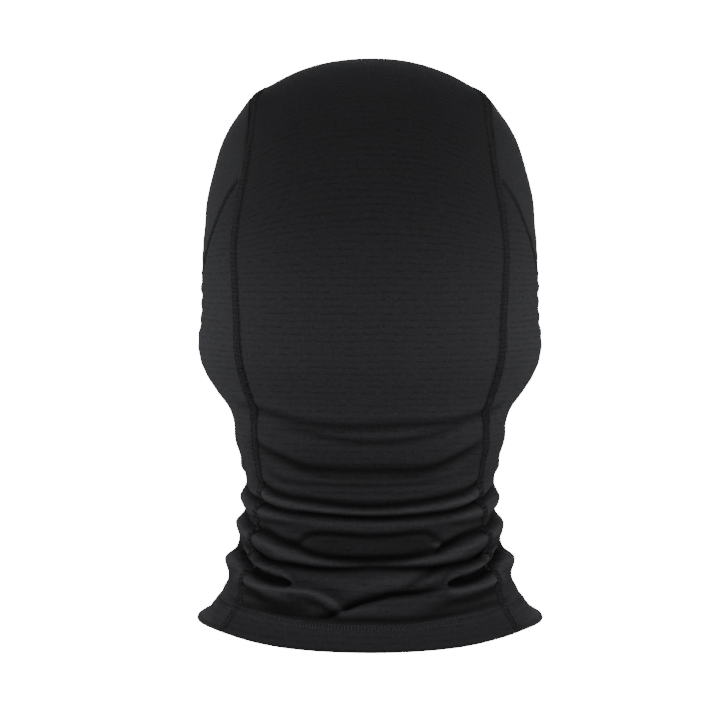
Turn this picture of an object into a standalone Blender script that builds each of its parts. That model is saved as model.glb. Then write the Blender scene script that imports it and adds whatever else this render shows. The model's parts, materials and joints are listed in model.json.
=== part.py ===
"""Stretch-knit balaclava, standing on its folded hem in the shape it has when worn.

Five cut panels of knit meet edge to edge. Each butt seam carries a flatlock thread band
on both faces. The hem is the panels' own cloth, turned in and coverstitched. A fold-over
elastic binding finishes the eye opening, and a blank label sits inside the nape.
Metres, +Z up, the face looks to -Y, the wearer's left is +X.
"""
import math

import bmesh
import bpy
import numpy as np

NAME = "balaclava"
MM = 0.001

# Cross-sections of the worn form. Height: (half width, depth behind, depth in front,
# roundness), all in mm apart from the roundness, which is the power of the oval.
STATIONS = {
    0: (85.2, 86, 84, 1.95),
    2.2: (85.2, 86, 84, 1.95),
    5: (82.7, 84.5, 83, 1.95),
    11: (76.5, 80, 80, 1.97),
    16: (73, 76, 78, 2.0),
    23: (69.5, 70, 77, 2.0),
    29: (71, 73, 80, 2.0),
    35: (67.5, 69, 80, 2.05),
    43: (64.8, 64, 84, 2.1),
    48: (65.5, 66, 88, 2.1),
    55: (61.5, 62, 93, 2.1),
    62: (63, 65, 97, 2.1),
    72: (61.3, 62.5, 99, 2.1),
    83: (64, 64, 98.5, 2.1),
    92: (66.8, 68, 98, 2.15),
    100: (67.5, 70, 98.5, 2.15),
    107: (69.8, 72, 98, 2.15),
    115: (75.4, 75, 97, 2.15),
    123: (80.6, 79, 96.5, 2.15),
    131: (83.9, 83, 96, 2.15),
    139: (84.9, 86, 95.5, 2.15),
    150: (83.6, 89.5, 94.5, 2.15),
    165: (83, 93, 93.5, 2.15),
    180: (82.6, 95.5, 93.5, 2.15),
    190: (82, 96.2, 94.5, 2.15),
    200: (81.2, 96.5, 95, 2.15),
}
DOME_BASE = 200 * MM      # the crown is domed above this height
DOME_RISE = 78.5 * MM
DOME_POWER = 2.18
AXIS_Y = 6.2 * MM         # the form's upright axis, behind the middle of its depth
PIVOT_Z = 170 * MM        # the spine of the centre panel turns about this height
SPINE_R = 90 * MM         # spine length for each radian of that turn
NOSE = (130 * MM, 12 * MM, 22 * MM)     # height, lift, half width
NOSE_FADE = (24 * MM, 30 * MM)          # how far the lift reaches up and down

# Main seam below the pivot height: height against the share of the local half width.
# Above it, the centre panel's half width in mm against its spine length.
SEAM_SHARE = {0: 0.82, 8: 0.845, 16: 0.872, 24: 0.89, 33: 0.9, 43: 0.895, 53: 0.883,
              63: 0.872, 75: 0.86, 88: 0.835, 102: 0.816, 114: 0.76, 124: 0.734, 134: 0.727,
              150: 0.742, 172: 0.76}
SEAM_HALF = {160: 62.7, 172: 63, 189: 63.5, 207: 62, 221: 60, 235: 58, 249: 56.3,
             267: 54.3, 297: 52.5, 340: 51.5, 390: 50, 430: 50}
# Temple seam on the side of the head: (y, height), from the main seam to the eye corner
TEMPLE_PATH = ((65, 212), (56, 201.5), (42, 186.5), (32, 177), (16, 166), (-2, 159.5),
               (-22, 158), (-42, 163))

EYE_HALF = 64 * MM        # eye opening, seen from the front
EYE_Z = 175 * MM
EYE_UP = 26 * MM
EYE_DOWN = 24 * MM
EYE_POWER = 2.4
BRIDGE = (7 * MM, 15 * MM)    # lift and half width of the lower edge over the nose

CLOTH = 1.2 * MM          # knit thickness
FOLD_GAP = 0.3 * MM       # between the two layers of the turned-up hem
HEM_TOP = 14 * MM
HEM_ROWS = 5              # panel rows in the hem
STITCH_ROWS = (3, 4)      # the rows under the hem's coverstitch
BUTT = 0.2 * MM           # half of the gap between two butted cut edges
BAND_HALF = 2.5 * MM      # flatlock band
BAND_THICK = 0.5 * MM
BAND_GAP = 0.35 * MM
BIND_LEG = 8 * MM         # fold-over binding of the eye opening
BIND_THICK = 0.7 * MM
BIND_GAP = 0.5 * MM
BIND_STITCH = (5.4 * MM, 6.8 * MM)    # from the cut edge to the stitch's two edges
STITCH_THICK = 0.4 * MM
END_GAP = 1.8 * MM        # a seam band stops this far from the binding's leg
PAST_JUNCTION = 7.5 * MM  # the temple seam's band starts this far from the main seam
STEP_OVER = (3.2 * MM, 4.8 * MM)      # where the hem's stitch climbs over a seam's band
LABEL_SPINE = (74 * MM, 92 * MM)      # the label's two ends along the spine
LABEL_HALF = 15 * MM
LABEL_THICK = 0.4 * MM

# Rows of the panels, as spine lengths in mm: hem to junction, then over the crown
ROWS_LOW = (0.6, 2.2, 5, 10.5, 13.8, 16, 23, 29, 35, 42, 48, 55, 62, 72, 82, 91,
            104, 117, 130, 143, 156, 170, 184, 198, 213, 229)
STEP_CROWN = 14
LEVEL_ROWS = 91 * MM      # rows stay level up to here
CENTRE_COLUMNS = 10
EYE_LOW_COLUMNS = 8
TEMPLE_ROWS = 5


# ---- the worn form -------------------------------------------------------------------

def smooth(table, x):
    """A smooth curve through a table of heights and values."""
    xs = np.array(sorted(table), float) * MM
    ys = np.array([table[k] for k in sorted(table)], float)
    gap = np.diff(xs)
    rise = np.diff(ys) / gap
    slope = np.empty_like(ys)
    slope[0] = rise[0]
    slope[-1] = 0
    slope[1:-1] = (rise[:-1] * gap[1:] + rise[1:] * gap[:-1]) / (gap[:-1] + gap[1:])
    i = np.clip(np.searchsorted(xs, x) - 1, 0, len(xs) - 2)
    t = np.clip((x - xs[i]) / gap[i], 0, 1)
    return ((1 + 2 * t) * (1 - t) ** 2 * ys[i] + t * (1 - t) ** 2 * gap[i] * slope[i]
            + t * t * (3 - 2 * t) * ys[i + 1] + t * t * (t - 1) * gap[i] * slope[i + 1])


def column(i):
    return {height: row[i] for height, row in STATIONS.items()}


WIDTH, BEHIND, FRONT, POWER = (column(i) for i in range(4))


def form(p):
    """Below zero inside the worn form, above zero outside it."""
    x, y, z = p[..., 0], p[..., 1] - AXIS_Y, p[..., 2]
    level = np.clip(z, 0, DOME_BASE)
    dz = z - NOSE[0]
    reach = np.where(dz > 0, NOSE_FADE[0], NOSE_FADE[1])
    nose = NOSE[1] * np.exp(-(dz / reach) ** 2 - (x / NOSE[2]) ** 2)
    width = smooth(WIDTH, level) * MM
    depth = np.where(y > 0, smooth(BEHIND, level) * MM, smooth(FRONT, level) * MM + nose)
    power = smooth(POWER, level)
    ring = ((np.abs(x) / width) ** power + (np.abs(y) / depth) ** power) ** (1 / power)
    over = np.maximum(z - DOME_BASE, 0) / DOME_RISE
    return (ring ** DOME_POWER + over ** DOME_POWER) ** (1 / DOME_POWER) - 1


def slope_of(p):
    step = 0.3 * MM
    axes = np.eye(3) * step
    return np.stack([form(p + a) - form(p - a) for a in axes], -1) / (2 * step)


def normal(p):
    g = slope_of(p)
    return g / np.linalg.norm(g, axis=-1, keepdims=True)


def settle(p):
    """Bring points that are close to the form onto it."""
    for _ in range(4):
        g = slope_of(p)
        p = p - g * (form(p) / (g ** 2).sum(-1))[..., None]
    return p


def shoot(start, way):
    """Where a ray from inside the form leaves it."""
    start, way = np.broadcast_arrays(start, way)
    low = np.zeros(way.shape[:-1])
    high = low + 0.17
    for _ in range(36):
        mid = (low + high) / 2
        inside = form(start + way * mid[..., None]) < 0
        low = np.where(inside, mid, low)
        high = np.where(inside, high, mid)
    return start + way * low[..., None]


def stack3(x, y, z):
    return np.stack(np.broadcast_arrays(x, y, z), -1)


def spine_point(s, x):
    """Surface point of the centre panel: spine length s and distance x to the side."""
    turn = np.maximum(s - PIVOT_Z, 0) / SPINE_R
    start = stack3(x, AXIS_Y, np.minimum(s, PIVOT_Z))
    return shoot(start, stack3(0 * turn, np.cos(turn), np.sin(turn)))


def spine_of(p):
    turn = np.arctan2(p[..., 2] - PIVOT_Z, p[..., 1] - AXIS_Y)
    return np.where(p[..., 2] < PIVOT_Z, p[..., 2], PIVOT_Z + turn * SPINE_R)


def chart_of(p):
    """Angle round the head from the back, and height carried on over the dome."""
    x, y, z = p[..., 0], p[..., 1] - AXIS_Y, p[..., 2] - PIVOT_Z
    lift = np.arctan2(z, np.hypot(x, y))
    return np.stack([np.arctan2(x, y), np.where(z < 0, p[..., 2], PIVOT_Z + lift * SPINE_R)], -1)


def chart_point(c):
    angle, height = c[..., 0], c[..., 1]
    lift = np.maximum(height - PIVOT_Z, 0) / SPINE_R
    start = stack3(0 * angle, AXIS_Y, np.minimum(height, PIVOT_Z))
    flat = np.cos(lift)
    return shoot(start, stack3(flat * np.sin(angle), flat * np.cos(angle), np.sin(lift)))


# ---- curves --------------------------------------------------------------------------

def lengths(points):
    steps = np.linalg.norm(np.diff(points, axis=0), axis=1)
    return np.concatenate([[0], np.cumsum(steps)])


def along(points, at):
    """Points at the given lengths along a polyline."""
    run = lengths(points)
    return np.stack([np.interp(at, run, points[:, k]) for k in range(points.shape[1])], -1)


def round_off(points, count=240, passes=60):
    """An even, rounded curve that keeps the two ends of a polyline."""
    run = lengths(points)[-1]
    curve = along(points, np.linspace(0, run, count))
    for _ in range(passes):
        curve[1:-1] = (curve[:-2] + 2 * curve[1:-1] + curve[2:]) / 4
    return curve


def eye_edge(angle):
    """Cut edge of the eye opening. Angle 0 is the outer corner on the left, 90 the brow."""
    c, s = np.cos(angle), np.sin(angle)
    x = EYE_HALF * np.sign(c) * np.abs(c) ** (2 / EYE_POWER)
    rise = np.abs(s) ** (2 / EYE_POWER)
    z = EYE_Z + np.where(s > 0, EYE_UP, -EYE_DOWN) * rise
    z = z + np.where(s < 0, BRIDGE[0] * np.exp(-(x / BRIDGE[1]) ** 2), 0)
    return shoot(stack3(x, AXIS_Y, z), np.array([0.0, -1.0, 0.0]))


def main_half(s):
    """Half width of the centre panel at a spine length."""
    below = smooth(SEAM_SHARE, np.minimum(s, PIVOT_Z)) * smooth(WIDTH, np.minimum(s, PIVOT_Z))
    return np.where(s < PIVOT_Z, below, smooth(SEAM_HALF, np.maximum(s, PIVOT_Z))) * MM


# ---- the pattern: every seam is one list of stations shared by the panels beside it ---

EYE_CURVE = eye_edge(np.linspace(-math.pi / 2, math.pi / 2, 721))
CORNER = EYE_CURVE[360]
EYE_LOOP = np.concatenate([EYE_CURVE[::4], EYE_CURVE[::4] * np.array([-1.0, 1, 1])])
upper_eye = EYE_CURVE[360:]
BROW_X = main_half(np.array(430 * MM))
brow_at = np.argmax(upper_eye[:, 0] < BROW_X)
BROW_CORNER = upper_eye[brow_at]
JUNCTION_S = ROWS_LOW[-1] * MM
CROWN_END = float(spine_of(BROW_CORNER))

crown_count = int(round((CROWN_END - JUNCTION_S) / MM / STEP_CROWN))
crown_rows = np.linspace(JUNCTION_S + 4 * MM, CROWN_END, crown_count + 1)
SPINE = np.concatenate([np.array(ROWS_LOW) * MM, crown_rows])
JUNCTION_ROW = len(ROWS_LOW) - 1
MAIN_SEAM = spine_point(SPINE, main_half(SPINE))
MAIN_SEAM[-1] = BROW_CORNER

side_guides = [shoot(np.array([0, y * MM, z * MM]), np.array([1.0, 0, 0]))
               for y, z in TEMPLE_PATH]
temple_line = round_off(np.array([MAIN_SEAM[JUNCTION_ROW], *side_guides, CORNER]))
temple_run = lengths(temple_line)[-1]
temple_at = np.concatenate([[0], np.linspace(4 * MM, temple_run, crown_count + 1)])
TEMPLE_SEAM = settle(along(temple_line, temple_at))
TEMPLE_SEAM[0] = MAIN_SEAM[JUNCTION_ROW]
TEMPLE_SEAM[-1] = CORNER

lower_eye = EYE_CURVE[:361][::-1]
lower_at = np.linspace(0, lengths(lower_eye)[-1], EYE_LOW_COLUMNS + 1)
EYE_LOW = along(lower_eye, lower_at)
EYE_OUTER = along(upper_eye[:brow_at + 1],
                  np.linspace(0, lengths(upper_eye[:brow_at + 1])[-1], TEMPLE_ROWS + 1))


def brow_edge(u):
    """The upper edge of the opening, at shares of the centre panel's half width."""
    brow = upper_eye[brow_at:][::-1]
    xs = np.abs(u) * BROW_CORNER[0]
    edge = np.stack([np.interp(xs, brow[:, 0], brow[:, k]) for k in range(3)], -1)
    edge[:, 0] = u * BROW_CORNER[0]
    return edge


ACROSS = np.linspace(-1, 1, CENTRE_COLUMNS + 1)
BROW_EDGE = brow_edge(ACROSS)


def centre_grid():
    """Rows along the spine, columns from the right seam to the left one."""
    s_edge = spine_of(BROW_EDGE)
    half = np.append(main_half(SPINE[:-1]), BROW_CORNER[0])
    near = np.clip((SPINE - (CROWN_END - 60 * MM)) / (60 * MM), 0, 1) ** 2
    s = SPINE[:, None] + near[:, None] * (s_edge - CROWN_END)[None, :]
    return spine_point(s, half[:, None] * ACROSS[None, :])


def side_grid():
    """Rows from the hem to the temple seam and eye edge, columns from back to front."""
    top = chart_of(np.concatenate([TEMPLE_SEAM, EYE_LOW[1:]]))
    top[-1, 0] = math.pi
    left = chart_of(MAIN_SEAM[:JUNCTION_ROW + 1])
    rows = SPINE[:JUNCTION_ROW + 1]
    part = np.clip((rows - LEVEL_ROWS) / (JUNCTION_S - LEVEL_ROWS), 0, 1)
    right_top = top[-1, 1]
    right = np.where(rows < LEVEL_ROWS, rows, LEVEL_ROWS + part * (right_top - LEVEL_ROWS))
    c = np.linspace(0, 1, len(top)) ** 0.85
    angle = left[:, :1] + (math.pi - left[:, :1]) * c
    height = left[:, 1:] + (right[:, None] - left[:, 1:]) * c
    bend = (part * part * (3 - 2 * part))[:, None]
    angle = angle + bend * (top[:, 0] - angle[-1])
    height = height + bend * (top[:, 1] - height[-1])
    height[:, 0] = left[:, 1]
    return chart_point(np.stack([angle, height], -1))


def temple_grid():
    """Rows from the temple seam up to the main seam, columns from the tip to the eye."""
    low = chart_of(TEMPLE_SEAM[1:])
    high = chart_of(MAIN_SEAM[JUNCTION_ROW + 1:])
    v = np.linspace(0, 1, TEMPLE_ROWS + 1)[:, None, None]
    body = low[None] * (1 - v) + high[None] * v
    edge = chart_of(EYE_OUTER)
    near = np.clip(1 - (len(low) - 1 - np.arange(len(low))) / 3, 0, 1)[None, :, None]
    body = body + near * (edge - body[:, -1])[:, None, :]
    grid = chart_point(body)
    grid[0] = TEMPLE_SEAM[1:]
    grid[-1] = MAIN_SEAM[JUNCTION_ROW + 1:]
    return grid


def pull_in(grid, edges):
    """Move the cut edges of a grid in by half of the butt gap."""
    out = grid.copy()
    for edge in edges:
        view, source = {"first_row": (out[0], grid[1]), "last_row": (out[-1], grid[-2]),
                        "first_col": (out[:, 0], grid[:, 1]),
                        "last_col": (out[:, -1], grid[:, -2])}[edge]
        away = source - view
        view += away / np.linalg.norm(away, axis=-1, keepdims=True) * BUTT
    return out


class Panel:
    """A panel's outside face, its inside face and its normals, before it is made."""

    def __init__(self, grid, edges):
        grid = pull_in(grid, edges)
        self.n = normal(grid)
        upright = grid[..., 2] < 3 * MM
        self.n[upright, 2] = 0
        self.n /= np.linalg.norm(self.n, axis=-1, keepdims=True)
        self.middle = grid - self.n * CLOTH / 2

    def mirrored(self):
        flip = np.array([-1.0, 1, 1])
        copy = object.__new__(Panel)
        copy.n = self.n * flip
        copy.middle = self.middle * flip
        return copy

    def with_hem(self):
        """The middle surface with the turned-up hem, from the fold's top edge."""
        turned = self.folded()
        return np.concatenate([turned[::-1], self.middle])

    def folded(self):
        return self.middle[:HEM_ROWS] - self.n[:HEM_ROWS] * (CLOTH + FOLD_GAP)


# ---- sheets --------------------------------------------------------------------------

def clear_scene():
    for obj in list(bpy.data.objects):
        bpy.data.objects.remove(obj, do_unlink=True)


def cloth_material(name, colour, rough, sheen):
    mat = bpy.data.materials.new(name)
    mat.use_nodes = True
    bsdf = mat.node_tree.nodes["Principled BSDF"]
    bsdf.inputs["Base Color"].default_value = (*colour, 1)
    bsdf.inputs["Roughness"].default_value = rough
    bsdf.inputs["Sheen Weight"].default_value = sheen
    bsdf.inputs["Metallic"].default_value = 0
    return mat


def rest_flat(obj):
    """Keep the sheet's thickness and lay the bottom of its fold flat on the ground."""
    seen = bpy.context.evaluated_depsgraph_get()
    solid = bpy.data.meshes.new_from_object(obj.evaluated_get(seen))
    obj.modifiers.clear()
    obj.data = solid
    for vert in solid.vertices:
        if vert.co.z < 0.4 * MM:
            vert.co.z = 0


def draped_sheet(name, grid, thick, look, closed=False):
    """A flat grid laid over the given points, then given its thickness with Solidify.
    A closed sheet is a ring whose last column is welded to its first."""
    if closed:
        grid = np.concatenate([grid, grid[:, :1]], axis=1)
    rows, cols = grid.shape[:2]
    bm = bmesh.new()
    bmesh.ops.create_grid(bm, x_segments=cols - 1, y_segments=rows - 1, size=1)
    for vert in bm.verts:
        i = round((vert.co.y + 1) / 2 * (rows - 1))
        j = round((vert.co.x + 1) / 2 * (cols - 1))
        vert.co = grid[i, j]
    if closed:
        bmesh.ops.remove_doubles(bm, verts=bm.verts, dist=1e-6)
    mesh = bpy.data.meshes.new(name)
    bm.to_mesh(mesh)
    bm.free()
    mesh.shade_smooth()
    mesh.materials.append(cloth_material(name, *look))
    obj = bpy.data.objects.new(name, mesh)
    group.objects.link(obj)
    shell = obj.modifiers.new("thickness", "SOLIDIFY")
    shell.thickness = thick
    shell.offset = 0
    shell.use_even_offset = True
    return obj


# ---- thread bands --------------------------------------------------------------------

def on_cell(edge, distance):
    """A point and a normal on the first cell, a distance away from the cut edge."""
    p, n, q, m = edge
    span = np.linalg.norm(q - p, axis=-1, keepdims=True)
    t = distance / span
    return p + (q - p) * t, n + (m - n) * t


def resample(edge, at):
    run = lengths(edge[0])
    return [np.stack([np.interp(at, run, values[:, k]) for k in range(3)], -1)
            for values in edge]


def unit(v):
    return v / np.linalg.norm(v, axis=-1, keepdims=True)


def clear_of_cloth(inside, extra=0.0):
    """Height of a thread band's middle above the middle of the cloth below it."""
    height = CLOTH / 2 + BAND_GAP + BAND_THICK / 2 + extra
    return -height if inside else height


def thread_band(name, one, other, begin, end, inside, look):
    """A flat band over a butt seam, resting just clear of the cells on both sides."""
    run = lengths(one[0])
    keep = run[(run > begin + 1 * MM) & (run < end - 1 * MM)]
    at = np.concatenate([[begin], keep, [end]])
    other = resample(other, np.interp(at / run[-1] * lengths(other[0])[-1],
                                      *match_run(run, lengths(other[0]))))
    one = resample(one, at)
    height = clear_of_cloth(inside)
    lines = [on_cell(one, BAND_HALF - BUTT),
             ((one[0] + other[0]) / 2, one[1] + other[1]),
             on_cell(other, BAND_HALF - BUTT)]
    grid = np.stack([p + unit(n) * height for p, n in lines])
    draped_sheet(name, grid, BAND_THICK, look)


def band_end(line):
    """How far along a seam its band may run before it meets the binding."""
    run = lengths(line)
    at = np.linspace(0, run[-1], 600)
    gap = np.linalg.norm(along(line, at)[:, None] - EYE_LOOP[None], axis=2).min(1)
    return at[gap > BIND_LEG + END_GAP][-1]


def match_run(run, other_run):
    """Both edges have the same stations, so lengths are matched station by station."""
    return run / run[-1] * other_run[-1], other_run


def column_edge(panel, last):
    first, second = (-1, -2) if last else (0, 1)
    return [panel.middle[:, first], panel.n[:, first],
            panel.middle[:, second], panel.n[:, second]]


def row_edge(panel, top, start=0, stop=None):
    first, second = (-1, -2) if top else (0, 1)
    cols = slice(start, stop)
    return [panel.middle[first, cols], panel.n[first, cols],
            panel.middle[second, cols], panel.n[second, cols]]


def join(first, second):
    return [np.concatenate(pair) for pair in zip(first, second)]


def hem_ring(name, panels, inside, look):
    """Coverstitch round the hem. It steps over the seam bands where it crosses them."""
    columns = []
    for panel, backwards in panels:
        layer = panel.folded() if inside else panel.middle
        order = slice(None, None, -1) if backwards else slice(None)
        rows = layer[STITCH_ROWS, order]
        norms = panel.n[STITCH_ROWS, order]
        run = lengths(rows[0])
        total = run[-1]
        marks = list(STEP_OVER)
        plain = [r for r in run if marks[1] < r < total - marks[1]]
        for r in sorted(marks + plain + [total - m for m in marks]):
            over = not inside and min(r, total - r) < sum(STEP_OVER) / 2
            height = clear_of_cloth(inside, BAND_THICK + BAND_GAP if over else 0)
            pair = []
            for row, n in zip(rows, norms):
                share = lengths(row)
                at = np.interp(r, run, share)
                pair.append(along(row, at) + unit(along_values(n, share, at)) * height)
            columns.append(pair)
    grid = np.array(columns).transpose(1, 0, 2)
    draped_sheet(name, grid, BAND_THICK, look, closed=True)


def along_values(values, run, at):
    return np.array([np.interp(at, run, values[:, k]) for k in range(3)])


# ---- eye opening ---------------------------------------------------------------------

def eye_ring():
    """Stations of the cut edge all round, the direction away from the opening, normals."""
    left = np.concatenate([EYE_LOW[::-1], EYE_OUTER[1:]])
    brow = BROW_EDGE[1:-1][::-1]
    right = (left * np.array([-1.0, 1, 1]))[::-1]
    ring = np.concatenate([left, brow, right[:-1]])
    n = normal(ring)
    ahead = unit(np.roll(ring, -1, 0) - np.roll(ring, 1, 0))
    away = unit(np.cross(ahead, n))
    middle = np.array([0, 0, EYE_Z])
    if ((ring - middle) * away).sum() < 0:
        away = -away
    return ring, away, n


def ring_line(ring, away, n, distance, height):
    """The ring moved over the cloth by a distance and off the cloth by a height."""
    p = ring + away * distance
    if distance > 0:
        p = settle(p)
        n = normal(p)
    return p + n * height


def binding(name, look):
    """Elastic folded over the cut edge: outside leg, wall in the opening, inside leg."""
    over = BIND_GAP + BIND_THICK / 2
    under = -CLOTH - over
    wall = -(0.4 * MM + BIND_THICK / 2)
    path = ((BIND_LEG, over), (BIND_LEG / 2, over), (wall, over),
            (wall, under), (BIND_LEG / 2, under), (BIND_LEG, under))
    stations = eye_ring()
    grid = np.stack([ring_line(*stations, d, h) for d, h in path])
    draped_sheet(name, grid, BIND_THICK, look, closed=True)


def binding_stitch(name, look):
    height = BIND_GAP + BIND_THICK + 0.5 * MM
    stations = eye_ring()
    grid = np.stack([ring_line(*stations, d, height) for d in BIND_STITCH])
    draped_sheet(name, grid, STITCH_THICK, look, closed=True)


def label(name, look):
    s = np.linspace(*LABEL_SPINE, 4)
    x = np.linspace(-LABEL_HALF, LABEL_HALF, 7)
    grid = spine_point(s[:, None] + 0 * x, x[None, :] + 0 * s[:, None])
    grid = grid - normal(grid) * (CLOTH + 0.8 * MM)
    draped_sheet(name, grid, LABEL_THICK, look)


# ---- assembly ------------------------------------------------------------------------

clear_scene()
group = bpy.data.collections.new(NAME)
bpy.context.scene.collection.children.link(group)

GRID_KNIT = ((0.022, 0.022, 0.025), 0.85, 0.25)
SIDE_KNIT = ((0.024, 0.024, 0.028), 0.8, 0.3)
TEMPLE_KNIT = ((0.03, 0.03, 0.034), 0.65, 0.35)
THREAD = ((0.012, 0.012, 0.014), 0.7, 0.1)
ELASTIC = ((0.016, 0.016, 0.018), 0.75, 0.15)
TAPE = ((0.3, 0.3, 0.31), 0.8, 0.1)

centre = Panel(centre_grid(), ("first_col", "last_col"))
side = {"left": Panel(side_grid(), ("first_col", "last_col", "last_row"))}
temple = {"left": Panel(temple_grid(), ("first_row", "last_row"))}
side["right"] = side["left"].mirrored()
temple["right"] = temple["left"].mirrored()
HANDS = ("left", "right")

rest_flat(draped_sheet("center_panel", centre.with_hem(), CLOTH, GRID_KNIT))
for hand in HANDS:
    rest_flat(draped_sheet(f"side_panel_{hand}", side[hand].with_hem(), CLOTH, SIDE_KNIT))
    draped_sheet(f"temple_panel_{hand}", temple[hand].middle, CLOTH, TEMPLE_KNIT)

for inside in (False, True):
    tail = "_inner" if inside else ""
    foot = 24 * MM if inside else 0.6 * MM
    for hand in HANDS:
        own = column_edge(centre, last=hand == "left")
        beside = join(column_edge(side[hand], last=False), row_edge(temple[hand], top=True))
        thread_band(f"main_seam{tail}_{hand}", own, beside, foot,
                    band_end(own[0]), inside, THREAD)
        low = row_edge(side[hand], top=True, start=1, stop=len(TEMPLE_SEAM))
        high = row_edge(temple[hand], top=False)
        thread_band(f"temple_seam{tail}_{hand}", low, high, PAST_JUNCTION,
                    band_end(low[0]), inside, THREAD)
    fronts = [column_edge(side[hand], last=True) for hand in HANDS]
    thread_band(f"front_seam{tail}", *fronts, foot,
                band_end(fronts[0][0]), inside, THREAD)
    ring = ((centre, False), (side["left"], False), (side["right"], True))
    hem_ring(f"hem_stitch{tail}", ring, inside, THREAD)

binding("eye_binding", ELASTIC)
binding_stitch("eye_binding_stitch", THREAD)
label("blank_label", TAPE)
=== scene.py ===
"""Looks of the stretch-knit balaclava: dense folded panels, flatlock threads, hem,
binding and label, with procedural knit materials, soft studio light and the camera."""
import json
import math

import bmesh
import bpy
import numpy as np
from mathutils import Vector, kdtree
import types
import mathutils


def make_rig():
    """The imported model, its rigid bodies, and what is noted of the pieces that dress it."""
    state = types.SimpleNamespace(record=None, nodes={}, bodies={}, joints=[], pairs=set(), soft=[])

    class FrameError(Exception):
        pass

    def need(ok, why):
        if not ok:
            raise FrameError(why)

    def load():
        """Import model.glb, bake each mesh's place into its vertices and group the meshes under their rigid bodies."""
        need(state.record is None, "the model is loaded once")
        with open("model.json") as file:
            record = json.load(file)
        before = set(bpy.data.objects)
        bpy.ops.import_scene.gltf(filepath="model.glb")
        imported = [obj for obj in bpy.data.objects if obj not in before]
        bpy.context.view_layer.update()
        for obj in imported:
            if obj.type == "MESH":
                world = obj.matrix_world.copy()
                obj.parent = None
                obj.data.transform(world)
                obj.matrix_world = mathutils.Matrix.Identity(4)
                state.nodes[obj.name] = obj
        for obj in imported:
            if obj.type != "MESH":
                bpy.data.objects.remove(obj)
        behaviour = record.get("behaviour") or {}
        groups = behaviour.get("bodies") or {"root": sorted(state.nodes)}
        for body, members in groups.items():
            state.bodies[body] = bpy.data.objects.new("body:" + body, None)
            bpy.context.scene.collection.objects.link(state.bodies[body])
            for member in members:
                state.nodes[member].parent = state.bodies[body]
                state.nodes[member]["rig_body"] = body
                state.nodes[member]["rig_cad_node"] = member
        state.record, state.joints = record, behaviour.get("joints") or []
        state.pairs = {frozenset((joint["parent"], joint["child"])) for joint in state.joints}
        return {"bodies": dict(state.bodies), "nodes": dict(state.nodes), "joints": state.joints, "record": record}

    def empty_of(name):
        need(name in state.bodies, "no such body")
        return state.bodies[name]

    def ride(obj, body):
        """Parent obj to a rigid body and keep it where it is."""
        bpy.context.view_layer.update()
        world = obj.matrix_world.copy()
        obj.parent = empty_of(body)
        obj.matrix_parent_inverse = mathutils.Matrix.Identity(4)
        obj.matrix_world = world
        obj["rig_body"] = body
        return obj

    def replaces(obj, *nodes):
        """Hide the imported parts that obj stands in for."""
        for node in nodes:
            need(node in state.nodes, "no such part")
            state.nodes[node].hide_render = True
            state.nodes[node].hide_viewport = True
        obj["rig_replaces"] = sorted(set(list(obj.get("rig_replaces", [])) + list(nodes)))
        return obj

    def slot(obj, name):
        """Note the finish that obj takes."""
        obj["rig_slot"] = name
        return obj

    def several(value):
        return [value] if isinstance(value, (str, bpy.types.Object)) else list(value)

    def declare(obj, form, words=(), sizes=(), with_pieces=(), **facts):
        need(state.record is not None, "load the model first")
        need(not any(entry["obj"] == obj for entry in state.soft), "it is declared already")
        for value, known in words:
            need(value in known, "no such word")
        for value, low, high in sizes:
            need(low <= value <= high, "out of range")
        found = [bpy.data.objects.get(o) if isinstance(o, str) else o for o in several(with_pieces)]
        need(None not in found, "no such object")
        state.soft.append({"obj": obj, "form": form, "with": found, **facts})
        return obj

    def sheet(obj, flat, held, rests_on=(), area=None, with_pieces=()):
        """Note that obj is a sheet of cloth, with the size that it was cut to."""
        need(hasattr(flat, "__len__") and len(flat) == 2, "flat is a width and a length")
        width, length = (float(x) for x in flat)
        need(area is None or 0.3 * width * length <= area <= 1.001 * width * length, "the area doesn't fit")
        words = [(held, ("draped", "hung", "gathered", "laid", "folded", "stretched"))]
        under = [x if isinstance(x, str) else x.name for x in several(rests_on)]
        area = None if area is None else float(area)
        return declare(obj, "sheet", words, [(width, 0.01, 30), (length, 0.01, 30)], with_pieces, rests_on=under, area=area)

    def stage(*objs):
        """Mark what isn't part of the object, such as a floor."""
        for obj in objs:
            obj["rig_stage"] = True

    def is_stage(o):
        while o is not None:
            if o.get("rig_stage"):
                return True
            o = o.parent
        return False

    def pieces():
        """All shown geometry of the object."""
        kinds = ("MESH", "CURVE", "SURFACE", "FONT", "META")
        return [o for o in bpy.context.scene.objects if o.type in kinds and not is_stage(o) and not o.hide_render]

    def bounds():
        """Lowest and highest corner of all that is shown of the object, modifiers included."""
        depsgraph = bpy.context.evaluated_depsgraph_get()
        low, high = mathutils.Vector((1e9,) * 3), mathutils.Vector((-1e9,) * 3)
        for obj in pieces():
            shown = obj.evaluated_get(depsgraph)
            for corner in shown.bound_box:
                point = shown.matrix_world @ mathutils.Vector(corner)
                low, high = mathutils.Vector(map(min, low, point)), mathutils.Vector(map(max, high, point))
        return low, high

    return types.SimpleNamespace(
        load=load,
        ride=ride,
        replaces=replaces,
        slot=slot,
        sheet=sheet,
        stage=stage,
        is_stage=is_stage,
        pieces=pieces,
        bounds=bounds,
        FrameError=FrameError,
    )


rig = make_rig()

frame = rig.load()
CAD_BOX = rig.bounds()

MM = 0.001
TURN = 2 * math.pi

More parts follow.
